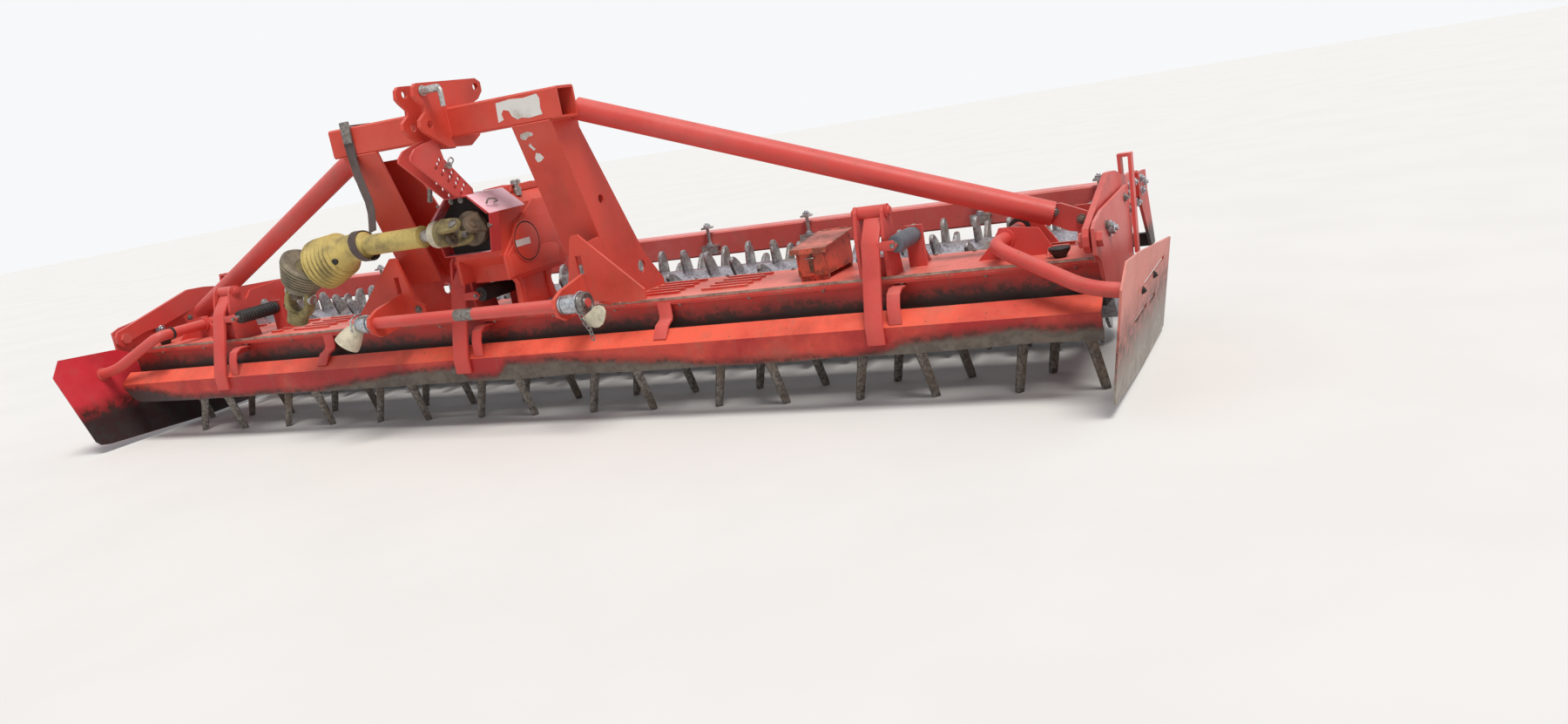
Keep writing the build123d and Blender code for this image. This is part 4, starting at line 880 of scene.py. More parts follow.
@dataclass
class Roller:
    """The toothed packer roller and the bearings at its ends."""

    centre_y: float = 460.0
    centre_z: float = 228.0
    drum: float = 148.0
    half_length: float = 1932.0
    stub_end: float = 1976.0
    bearing_face: float = 1963.0
    pitch: float = 125.0
    rings: int = 31
    teeth: int = 9
    thickness: float = 13.0
    # Height over the drum in millimetres and angle in degrees of one fin's corners
    fin: tuple = ((-4, 0.5), (14, 3.4), (34, 6.0), (54, 8.8), (72, 11.8), (79, 13.6), (80, 15.6), (77, 18.2),
                  (66, 20.8), (46, 22.6), (22, 24.0), (-4, 25.6))

    def build(self, bench: Bench) -> None:
        """Make and hand over the roller and its bearings."""
        share = 2 * math.pi / self.teeth
        outline = []
        for height, angle in self.fin:
            reach = self.drum + height
            outline.append((self.centre_y + reach * math.cos(math.radians(angle)),
                            self.centre_z + reach * math.sin(math.radians(angle))))
        fin = bench.side_plate(-self.thickness / 2, outline, self.thickness, 2.2, Finish.FIN)
        middle = spot(0, self.centre_y, self.centre_z)
        there, back = Matrix.Translation(middle), Matrix.Translation(-middle)
        around = [there @ Matrix.Rotation(share * tooth, 4, "X") @ back for tooth in range(self.teeth)]
        ring = bench.settle(bench.copies(fin, around))
        places = []
        for number in range(self.rings):
            across = (number - (self.rings - 1) / 2) * self.pitch / 1000
            turn = Matrix.Rotation(share / 3 * (number % 3), 4, "X")
            places.append(Matrix.Translation(middle + RIGHT * across) @ turn @ back)
        fins = bench.copies(ring, places)
        half = [(self.drum - 14, 0), (self.drum - 12, 6), (self.drum, 6), (self.drum, -4)]
        stub = [(26, self.stub_end), (30, self.stub_end), (30, self.half_length + 8),
                (60, self.half_length + 8), (66, self.half_length)]
        end = stub + [(radius, self.half_length + more) for radius, more in half]
        steps = [(-x, radius) for radius, x in end] + [(x, radius) for radius, x in reversed(end)]
        drum = bench.turned(middle, RIGHT, steps, 72, Finish.ROLLER)
        bench.hand_over(bench.join([drum, fins]), "toothed_roller", ["packer_roller"],
                        "roller")
        housing = [(0, 64), (5, 64), (7, 62), (8, 46), (18, 42), (22, 38), (22, 32), (10, 31)]
        housings = [bench.turned(spot(side * self.bearing_face, self.centre_y, self.centre_z),
                                 RIGHT * -side, housing, 36, Finish.PANEL) for side in (-1, 1)]
        bench.hand_over(bench.join(housings), "roller_bearing_housings", body="roller_frame")


@dataclass
class Rotors:
    """The sixteen rotors: forged hub, shaft and two trailing tines each."""

    count: int = 16
    pitch: float = 250.0
    arm_angle: float = -45.0
    tip_radius: float = 138.0
    lean: float = 13.0
    hub_under: float = 167.0
    pad_height: float = 187.0
    # Height, and how far behind and ahead of its middle line, for the tine's edges
    blade: tuple = ((0, 9, 12), (3, 11, 13), (26, 13, 13.5), (90, 14, 14.5), (160, 16, 17), (226, 22, 22),
                    (232, 20, 20))

    def build(self, bench: Bench) -> None:
        """Make one rotor for each turning direction and copy it along the trough."""
        masters = [self._rotor(bench, 1), self._rotor(bench, -1)]
        items = []
        for index in range(self.count):
            bench.pick([masters[index % 2]])
            bpy.ops.object.duplicate(linked=False)
            copy = bpy.context.active_object
            copy.location = ((index - (self.count - 1) / 2) * self.pitch / 1000, 0, 0)
            items.append(copy)
        for master in masters:
            bpy.data.objects.remove(master, do_unlink=True)
        for index, item in enumerate(items):
            number = f"{index + 1:02d}"
            bench.hand_over(item, f"tine_rotor_{number}", [f"rotor_{number}"],
                            f"rotor_{number}_unit")

    def _rotor(self, bench: Bench, turn: int) -> Item:
        """One rotor about x = 0.

        Args:
            bench: Where it is made.
            turn: 1 or -1 for its turning direction.

        Returns:
            The rotor.
        """
        reach = math.radians(self.arm_angle)
        out = Vector((math.cos(reach), math.sin(reach), 0))
        ahead = Vector((-math.sin(reach), math.cos(reach), 0)) * turn
        face = self.tip_radius - 8
        run = math.tan(math.radians(self.lean))
        pad = self.pad_height * run
        half = [(face, pad - 31), (face, pad + 31), (70, pad + 20), (24, 57), (-10, 54), (-42, 42)]
        outline = half + [(-a, -b) for a, b in half]
        centre = spot(0, 0, self.hub_under)
        hub = bench.plate([centre + out * a / 1000 + ahead * b / 1000 for a, b in outline], UP * 0.040, 5,
                          Finish.TINE)
        foot = spot(0, 0, 0)
        shaft = bench.turned(foot, UP, [(158, 22), (160, 40), (164, 44), (205, 44), (210, 34), (221.6, 30)],
                             28, Finish.TINE)
        lead = [(z * run - behind, z) for z, behind, before in self.blade]
        trail = [(z * run + before, z) for z, behind, before in reversed(self.blade)]
        parts = [hub, shaft]
        for way in (1, -1):
            forward = ahead * way
            side = out * way
            start = foot + side * face / 1000
            corners = [start + forward * a / 1000 + UP * z / 1000 for a, z in lead + trail]
            parts.append(bench.plate(corners, side * 0.016, 3.2, Finish.TINE))
            for height in (176, 198):
                at = start + forward * height * run / 1000 + UP * height / 1000 + side * 0.016
                parts.append(bench.turned(at, side, [(-6, 11), (5, 11), (7, 9)], 6, Finish.TINE))
        return bench.settle(bench.join(parts))


@dataclass(frozen=True)
class ArmPlace:
    """One arm of the levelling board with its spring, in millimetres."""

    x: float
    left: float
    width: float
    spring_x: float
    spring_front: float
    spring_rear: float
    spring_z: float
    coiled: bool = False


ARMS = (
    ArmPlace(-1390.0, -1421.0, 62.0, -1302.0, -170.0, 14.0, 471.0, coiled=True),
    ArmPlace(-165.0, -198.0, 64.0, -77.0, -184.0, 0.0, 463.0),
    ArmPlace(1362.0, 1342.0, 55.0, 1440.0, -170.0, -4.0, 478.0),
)
EYE_Y = -120.0
EYE_Z = 571.0


@dataclass
class BoardSprings:
    """The three springs behind the levelling board's arms."""

    pitch: float = 12.5
    # Along the spring and radius, for each ring of one coil
    coil: tuple = ((0, 20), (2.5, 25), (6, 26.6), (9.5, 25), (12, 20))

    def build(self, bench: Bench) -> None:
        """Make and hand over the springs."""
        parts = []
        for arm in ARMS:
            length = arm.spring_rear - arm.spring_front
            steps = [(0, 18), (2, 24), (8, 25)]
            if arm.coiled:
                for turn in range(int((length - 20) / self.pitch)):
                    steps += [(10 + turn * self.pitch + along, radius) for along, radius in self.coil]
            else:
                steps += [(14, 27), (40, 27), (42, 25.5), (60, 26), (64, 27), (length - 30, 27),
                          (length - 26, 24)]
            steps += [(length - 6, 24), (length - 2, 22), (length, 16)]
            parts.append(bench.turned(spot(arm.spring_x, arm.spring_front, arm.spring_z), BACK, steps, 28,
                                      Finish.SPRING if arm.spring_x > 0 else Finish.RUBBER))
        bench.hand_over(bench.join(parts), "ribbed_springs", ["board_springs"])


@dataclass
class LevellingBoard:
    """The folded board along the front, its lower edge worn into waves."""

    half_length: float = 2009.0
    front: float = -246.0
    fold: float = 252.0
    rear: float = -190.0
    rear_z: float = 292.0
    sheet: float = 6.0
    cut_from: float = -1930.0
    columns: int = 120
    rows: int = 9
    face_share: float = 0.62
    fold_share: float = 0.70
    dents: int = 26
    # x and height of the worn lower edge
    edge: tuple = ((-2009, 178), (-1946, 175), (-1538, 171), (-1086, 172), (-816, 171), (-434, 173),
                   (-314, 174), (60, 171), (306, 175), (545, 171), (736, 172), (855, 171), (1091, 171),
                   (1250, 175), (1419, 171), (1620, 174), (1796, 179), (2009, 176))

    def height(self, x: float) -> float:
        """Height of the worn edge at x."""
        if x < self.cut_from:
            part = (self.cut_from - x) / (self.half_length + self.cut_from)
            return self.edge[1][1] + (self.fold - 8 - self.edge[1][1]) * part ** 1.2
        for (low, a), (high, b) in zip(self.edge, self.edge[1:]):
            if low <= x <= high:
                part = (x - low) / (high - low)
                part = part * part * (3 - 2 * part)
                return a + (b - a) * part
        return self.edge[-1][1]

    def build(self, bench: Bench) -> None:
        """Make and hand over the board."""
        random.seed(7)
        bpy.ops.object.select_all(action="DESELECT")
        bpy.ops.mesh.primitive_grid_add(x_subdivisions=self.columns, y_subdivisions=self.rows, size=1)
        item = bpy.context.active_object
        dents = [(random.uniform(-1900, 1900), random.uniform(60, 160), random.uniform(-5, 4))
                 for _ in range(self.dents)]
        for vertex in item.data.vertices:
            x = vertex.co.x * 2 * (self.half_length - 0.5)
            share = vertex.co.y + 0.5
            low = self.height(x)
            wobble = sum(deep * math.exp(-((x - at) / wide) ** 2) for at, wide, deep in dents)
            if share < self.face_share:
                part = share / self.face_share
                y = self.front + 1 + max(0.0, wobble * (1 - part) ** 1.5 + 3)
                z = low + (self.fold - 5 - low) * part
            elif share < self.fold_share:
                y, z = self.front + 4, self.fold - 1
            else:
                part = (share - self.fold_share) / 0.30
                y = self.front + 8 + (self.rear - self.front - 8) * part
                z = self.fold + 2 + (self.rear_z - self.fold - 4) * part
            vertex.co = spot(x, y, z)
        bench.thicken(item, self.sheet / 1000 - 0.001, Finish.BOARD)
        bench.hand_over(item, "worn_board", ["levelling_board"])


@dataclass
class TroughFittings:
    """Bolts along the trough's flanges, the cover's worn edge and the brackets that hold the board."""

    half_length: float = 2000.0
    bolt_pitch: float = 125.0
    front_row: float = -159.0
    rear_row: float = 180.0
    under: float = 363.5
    over: float = 380.5
    bracket_width: float = 48.0
    brackets: tuple = (-857.0, 633.0)
    loops: tuple = (-1342.0, -118.0, 1410.0)

    def build(self, bench: Bench) -> None:
        """Make and hand over the fittings."""
        self._bolts(bench)
        self._worn_edge(bench)
        self._guides(bench)

    def _bolts(self, bench: Bench) -> None:
        """Bolts under the front flange, and under and over the rear one."""
        places = []
        for index in range(int(2 * self.half_length / self.bolt_pitch)):
            x = -self.half_length + self.bolt_pitch * (index + 0.5)
            if index % 2:
                places.append(aimed(spot(x, self.front_row, self.under), DOWN, 0.3 * index))
            places.append(aimed(spot(x, self.rear_row, self.under), DOWN, 0.3 * index))
            places.append(aimed(spot(x, self.rear_row, self.over), UP, 0.5 * index))
        bench.hand_over_bolts(5.6, Finish.DULL, places, "flange_bolts")

    def _worn_edge(self, bench: Bench) -> None:
        """The bare strip along the cover's front edge."""
        low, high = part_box("trough_cover")
        left, right = low[0] + 0.01, high[0] - 0.01
        bottom, top = high[2] - 0.009, high[2] - 0.001
        edge = [Vector((x, low[1] - 0.0004, z))
                for x, z in ((left, bottom), (right, bottom), (right, top), (left, top))]
        strip = bench.plate(edge, FRONT * 0.0008, 0, Finish.WORN_EDGE)
        bench.hand_over(strip, "cover_worn_edge")

    def _guides(self, bench: Bench) -> None:
        """The folded brackets and the loops that guide the board."""
        bracket = [(-170, 371), (-170, 330), (-176, 318), (-206, 306), (-212, 296), (-232, 268), (-229, 265),
                   (-206, 288), (-200, 299), (-170, 312), (-164, 324), (-163, 371)]
        rib = [(-232, 270), (-176, 308), (-176, 303), (-228, 264)]
        strap = [(-150, 357), (-198, 357), (-222, 344), (-236, 312), (-240, 258), (-234, 258), (-230, 310),
                 (-217, 339), (-196, 350), (-150, 350)]
        web = [(-152, 350), (-196, 350), (-217, 339), (-222, 326), (-196, 330), (-152, 334)]
        parts = []
        for x in self.brackets:
            left = x - self.bracket_width / 2
            parts.append(bench.side_plate(left, bracket, self.bracket_width, 1.2, Finish.RED))
            parts.append(bench.side_plate(left, rib, 6, 0.8, Finish.RED))
        for x in self.loops:
            parts.append(bench.side_plate(x, strap, 40, 1.2, Finish.RED))
            parts.append(bench.side_plate(x + 17, web, 6, 1, Finish.RED))
        bench.hand_over(bench.join(parts), "board_guides")


@dataclass
class Headstock:
    """Worn labels, welds, pins and the shaft's strap on the headstock."""

    beam_front: float = -288.0
    beam_rear: float = -198.0
    beam_lower: float = 991.0
    leg_slope: float = 0.3354
    pin_y: float = -376.0
    pin_z: float = 1146.0
    tube_z: float = 692.0

    def build(self, bench: Bench) -> None:
        """Make and hand over the pieces."""
        self._labels(bench)
        self._welds(bench)
        self._pin(bench)
        self._strut_pin(bench)
        self._strap(bench)

    def _labels(self, bench: Bench) -> None:
        """Worn remains of blank labels on the beam and the right leg."""
        outer = [(240, 1010), (244, 1070), (300, 1074), (352, 1070), (404, 1075), (412, 1060), (408, 1030),
                 (412, 1012), (360, 1008), (330, 1013), (316, 1009), (296, 1022), (288, 1040), (268, 1046),
                 (258, 1034), (262, 1016)]
        label = bench.front_plate(self.beam_front - 0.1, outer, 0.5, 0, Finish.WHITE)
        patches = []
        for outline in ([(300, 952), (306, 964), (336, 968), (352, 962), (350, 954), (330, 952), (318, 944),
                         (306, 946)],
                        [(318, 926), (328, 932), (332, 920), (340, 912), (330, 908)],
                        [(322, 884), (334, 900), (348, 896), (356, 882), (340, 872), (326, 870)]):
            corners = [spot(x, self.beam_front + (self.beam_lower - z) * self.leg_slope - 0.2, z)
                       for x, z in outline]
            patches.append(bench.plate(corners, FRONT * 0.0006, 0, Finish.WHITE))
        bench.hand_over(bench.join([label, *patches]), "blank_labels")

    def _welds(self, bench: Bench) -> None:
        """Weld beads where the legs and the head meet the beam."""
        runs = []
        for side in (-1, 1):
            runs.append(((side * 286, -286, 990), (side * 434, -286, 990), 3.5))
            runs.append(((side * 437, -284, 989), (side * 437, -160, 989), 3.5))
            for z in (992, 1086):
                runs.append(((side * 44, -289, 992), (side * 44, -289, 1086), 3))
                runs.append(((side * 44, -286, z), (side * 44, self.beam_rear, z), 3))
        beads = [bench.bar([spot(*start), spot(*end)], radius, 0, 8, Finish.ORANGE)
                 for start, end, radius in runs]
        bench.hand_over(bench.join(beads), "beam_welds")

    def _pin(self, bench: Bench) -> None:
        """The parked top link pin with its handle bent down."""
        shank = bench.turned(spot(20, self.pin_y, self.pin_z), RIGHT, [
            (0, 9), (3, 12.4), (40, 12.4), (41, 11), (46, 11), (47, 12.4), (88, 12.4), (92, 10)], 24,
            Finish.BARE)
        handle = bench.bar([spot(96, self.pin_y, self.pin_z), spot(114, -376, 1144), spot(118, -380, 1128),
                            spot(118, -381, 1088)], 8, 14, 12, Finish.BARE)
        collar = bench.turned(spot(44, self.pin_y, self.pin_z), RIGHT, [(0, 17), (4, 17), (5, 15)], 20,
                              Finish.BARE)
        bench.hand_over(bench.join([shank, handle, collar]), "parked_top_pin",
                        ["top_link_pin"])

    def _strut_pin(self, bench: Bench) -> None:
        """The pin with its ring in the strut and the rod that hangs from the head."""
        pin = bench.turned(spot(-34, -330, 908), RIGHT, [(0, 8), (70, 8), (72, 11), (80, 11)], 16,
                           Finish.BARE)
        ring = bench.bar([spot(46, -330, 908), spot(54, -345, 922), spot(56, -330, 934), spot(54, -314, 922),
                          spot(46, -326, 908)], 2.5, 12, 8, Finish.BARE)
        rod = bench.bar([spot(-73, -300, 880), spot(-97, -300, 802)], 8, 0, 12, Finish.DULL)
        tip = bench.turned(spot(-73, -300, 884), DOWN, [(0, 10), (10, 10), (14, 8)], 12, Finish.DULL)
        bench.hand_over(bench.join([pin, ring, rod, tip]), "strut_pin")

    def _strap(self, bench: Bench) -> None:
        """The flat strap over the beam, down the leg and round the tube."""
        band = [(-398, -292, 1040), (-392, -293, 985), (-380, -300, 930), (-362, -308, 880),
                (-345, -315, 838), (-338, -322, 800), (-338, -330, 765), (-344, -332, 735)]
        strip = [spot(*place) for place in band]
        half = Vector((0.017, 0, 0.004))
        hanging = self._ribbon(bench, [place - half for place in strip], [place + half for place in strip])
        over = [(-289, 985), (-292, 1000), (-291, 1088), (-286, 1091), (-198, 1091), (-193, 1086),
                (-193, 1040)]
        saddle = self._ribbon(bench, [spot(-406, y, z) for y, z in over], [spot(-372, y, z) for y, z in over])
        ring = []
        for step in range(25):
            angle = 2 * math.pi * step / 24
            ring.append((-330 + 51.5 * math.sin(angle), self.tube_z + 52 * math.cos(angle)))
        loop = self._ribbon(bench, [spot(-414 + (self.tube_z - z) * 0.3, y, z) for y, z in ring],
                            [spot(-382 + (self.tube_z - z) * 0.3, y, z) for y, z in ring])
        buckle = bench.front_plate(-291, [(-410, 1034), (-370, 1034), (-370, 1106), (-410, 1106)], 9, 3,
                                   Finish.DULL)
        bench.hand_over(bench.join([hanging, saddle, loop, buckle]), "shaft_strap_band",
                        ["shaft_strap"])

    def _ribbon(self, bench: Bench, left: Sequence[Vector], right: Sequence[Vector]) -> Item:
        """A flat band between two edges.

        Args:
            bench: Where it is made.
            left: Points of one edge.
            right: Points of the other.

        Returns:
            The band.
        """
        bpy.ops.object.select_all(action="DESELECT")
        bpy.ops.mesh.primitive_grid_add(x_subdivisions=1, y_subdivisions=len(left) - 1, size=1)
        item = bpy.context.active_object
        for vertex in item.data.vertices:
            row = round((vertex.co.y + 0.5) * (len(left) - 1))
            vertex.co = left[row] if vertex.co.x < 0 else right[row]
        return bench.thicken(item, 0.003, Finish.WEBBING)


@dataclass
class Strut:
    """The perforated strut: two drilled bars between the head and the guard."""

    outline: tuple = ((-478, 941), (-474, 954), (-450, 974), (-400, 988), (-345, 998), (-330, 930),
                      (-227, 822), (-227, 805), (-312, 805))
    start: tuple = (-345.0, 946.0)
    along: tuple = (0.690, -0.724)
    hole: float = 7.2
    rows: int = 3
    columns: int = 5
    first_row: float = 13.0
    row_pitch: float = 18.0
    first_column: float = 8.0
    column_pitch: float = 32.0

    def build(self, bench: Bench) -> None:
        """Make and hand over the strut."""
        strut = bench.join([bench.side_plate(x, self.outline, 8, 0, Finish.RED) for x in (-28.5, 20.5)])
        bit = bench.turned(spot(-60, 0, 0), RIGHT, [(0, self.hole), (120, self.hole)], 14, Finish.GRIME)
        places = []
        for row in range(self.rows):
            for column in range(self.columns):
                far = self.first_column + self.column_pitch * column
                deep = self.first_row + self.row_pitch * row
                y = self.start[0] + self.along[0] * far + self.along[1] * deep
                z = self.start[1] + self.along[1] * far - self.along[0] * deep
                places.append(Matrix.Translation((0, y / 1000, z / 1000)))
        drills = bench.settle(bench.copies(bit, places))
        bench.pick([strut])
        cut = strut.modifiers.new("holes", "BOOLEAN")
        cut.operation = "DIFFERENCE"
        cut.solver = "EXACT"
        cut.object = drills
        bpy.ops.object.modifier_apply(modifier=cut.name)
        bpy.data.objects.remove(drills, do_unlink=True)
        bench.hand_over(strut, "drilled_strut", ["perforated_strut"])


@dataclass
class BoardArms:
    """The cranked arms of the levelling board with their eyes and spring rods."""

    outline: tuple = ((-134, 559), (-124, 553), (-176, 492), (-178, 478), (-245, 262), (-246, 252),
                      (-246, 207), (-250, 203), (-258, 205), (-258, 256), (-257, 264), (-191, 486),
                      (-186, 498))

    def build(self, bench: Bench) -> None:
        """Make and hand over the arms."""
        for number, arm in enumerate(ARMS, 1):
            across, z = arm.spring_x, arm.spring_z
            flat = bench.side_plate(arm.left, self.outline, arm.width, 3.5, Finish.RED)
            eye = bench.turned(spot(arm.x - 37, EYE_Y, EYE_Z), RIGHT, [(0, 12), (0, 20), (74, 20), (74, 12)],
                               32, Finish.RED)
            lug = bench.front_plate(arm.spring_front - 14, [
                (arm.x + 30, z - 12), (arm.x + 30, z + 12), (across, z + 15), (across + 13, z),
                (across, z - 15)], 9, 2, Finish.RED)
            rod = bench.turned(spot(across, arm.spring_front - 30, z), BACK, [
                (0, 7), (8, 7), (8, 11), (16, 11), (30, 11), (32, 8)], 12, Finish.DULL)
            bench.hand_over(bench.join([flat, eye, lug, rod]), f"cranked_arm_{number}",
                            [f"board_arm_{number}"])


@dataclass
class Gearbox:
    """Casting, cover, ribs, breather, bolts and blank label of the gearbox, and the guard's catches."""

    cover_y: float = -124.0
    cover_z: float = 619.0
    right: float = 120.0
    bolt_circle: float = 0.058
    foot_top: float = 394.0

    def build(self, bench: Bench) -> None:
        """Make and hand over the pieces."""
        self._casting(bench)
        self._cover(bench)
        self._ribs(bench)
        self._bolts(bench)
        self._guard(bench)

    def _cover(self, bench: Bench) -> None:
        """The round cover on the right with its groove, and the blank label."""
        middle = spot(self.right, self.cover_y, self.cover_z)
        cover = bench.turned(middle, RIGHT, [(-2, 72), (0, 72), (1, 70), (1, 67), (-1, 66), (-1, 63), (1, 62),
                                             (2, 60), (2.4, 20)], 48, Finish.CAST)
        # A near-black ring set in the cover's groove: painted shade in the recess.
        groove = bench.turned(middle, RIGHT, [(-1, 66.4), (0.7, 66.4), (0.7, 62.6), (-1, 62.6)], 48,
                              Finish.GRIME, hollow=True)
        label = bench.side_plate(122.2, [(-187, 608), (-110, 608), (-110, 630), (-187, 630)], 0.8, 0,
                                 Finish.WHITE)
        bench.hand_over(bench.join([cover, groove, label]), "gearbox_cover")

    def _ribs(self, bench: Bench) -> None:
        """Three ribs over the top and the breather."""
        rib = [(-92, 783), (-66, 806), (36, 808), (84, 803), (134, 783)]
        ribs = [bench.side_plate(x - 6, rib, 12, 3, Finish.CAST) for x in (-60, 0, 60)]
        breather = bench.turned(spot(74, -60, 770), UP, [
            (0, 14), (26, 14), (27, 9), (38, 9), (39, 17), (50, 17), (54, 12)], 16, Finish.BARE)
        bench.hand_over(bench.join([*ribs, breather]), "gearbox_ribs")

    def _bolts(self, bench: Bench) -> None:
        """Bolts of the left cover and of the foot."""
        places = []
        for step in range(8):
            angle = math.pi * (step + 0.5) / 4
            out = Vector((0, self.bolt_circle * math.cos(angle), self.bolt_circle * math.sin(angle)))
            places.append(aimed(spot(-112, self.cover_y, self.cover_z) + out, LEFT))
        for y in (-160, -90, -20, 20):
            for x in (-40, 84):
                places.append(aimed(spot(x, y, self.foot_top), UP))
        bench.hand_over_bolts(7.5, Finish.DULL, places, "gearbox_bolts")

    def _guard(self, bench: Bench) -> None:
        """A near-black sheet painted as the shade inside the guard, and the guard's catches."""
        # A near-black sheet across the guard's inside: painted shade.
        shade_outline = [(-108, 736), (-44, 798), (44, 798), (108, 736), (92, 616), (-92, 616)]
        shade_sheet = bench.front_plate(-244.5, shade_outline, 1.5, 0, Finish.GRIME)
        bench.hand_over(shade_sheet, "guard_painted_shade")
        catches = []
        for x in (-100, 100):
            catches.append(bench.bar([spot(x, -262, 768), spot(x * 1.1, -262, 784), spot(x * 1.16, -236, 780),
                                      spot(x * 1.1, -214, 770), spot(x, -226, 768)], 3, 9, 8, Finish.DULL))
            catches.append(bench.copies(bench.bolt(7, Finish.DULL), [
                aimed(spot(x * 1.12, -284, 700), Vector((math.copysign(1, x), 0, 0))),
                aimed(spot(x * 0.2, -289, 792), FRONT)]))
        bench.hand_over(bench.join(catches), "guard_catches")

    def _casting(self, bench: Bench) -> None:
        """The casting with its stepped side shells, on a pedestal that is open beside the middle spring."""
        outline = [(-240, 592), (-240, 784), (135, 784), (161, 745), (118, 557), (74, 500), (-171, 500),
                   (-180, 558)]
        body = bench.side_plate(-98, outline, 196, 0, Finish.CAST)
        for side in (-1, 1):
            bench.pick([body])
            bpy.ops.object.mode_set(mode="EDIT")
            bpy.ops.mesh.select_all(action="SELECT")
            bpy.ops.mesh.bisect(plane_co=spot(side * 60, 0, 784), plane_no=(side, 0, 1), use_fill=True,
                                clear_outer=True)
            bpy.ops.object.mode_set(mode="OBJECT")
        parts = [bench.bevel(body, 7, 3)]
        shell = [(-234, 508), (-234, 592), (-168, 650), (-150, 684), (-84, 716), (-30, 752), (48, 734),
                 (62, 706), (66, 668), (112, 548), (78, 508)]
        step = [(-228, 514), (-228, 588), (-160, 636), (-142, 676), (-96, 694), (-80, 716), (22, 684),
                (42, 662), (44, 622), (84, 545), (66, 514)]
        block = [(-224, 518), (-224, 584), (-150, 592), (10, 592), (46, 578), (40, 518)]
        for side in (-1, 1):
            for outline, start, deep in ((shell, 94, 14), (step, 104, 10), (block, 110, 7)):
                low = min(side * start, side * (start + deep))
                parts.append(bench.side_plate(low, outline, deep, 2, Finish.CAST))
        foot = [(-182, 379.5), (44, 379.5), (44, 393), (-182, 393)]
        wall = [(-160, 388), (12, 388), (-8, 420), (-14, 506), (-160, 506)]
        front = [(-180, 388), (-176, 420), (-171, 487), (-186, 506), (-152, 506), (-146, 487), (-146, 388)]
        rear = [(36, 388), (14, 420), (1, 466), (24, 506), (-18, 506), (-22, 466), (-20, 388)]
        column = [(-24, 388), (30, 388), (20, 506), (-14, 506)]
        # Left side, outline, thickness and rounding of each piece of the pedestal
        for left, outline, thick, round_by in ((-46, foot, 136, 2), (72, wall, 12, 1), (68, front, 22, 2),
                                               (68, rear, 22, 2), (-44, column, 120, 4)):
            parts.append(bench.side_plate(left, outline, thick, round_by, Finish.CAST))
        parts.append(bench.turned(spot(0, -240, 690), FRONT, [(-4, 54), (4, 50), (9.8, 48), (9.8, 30)], 32,
                                  Finish.CAST))
        bench.hand_over(bench.join(parts), "gearbox_casting", ["gearbox"])


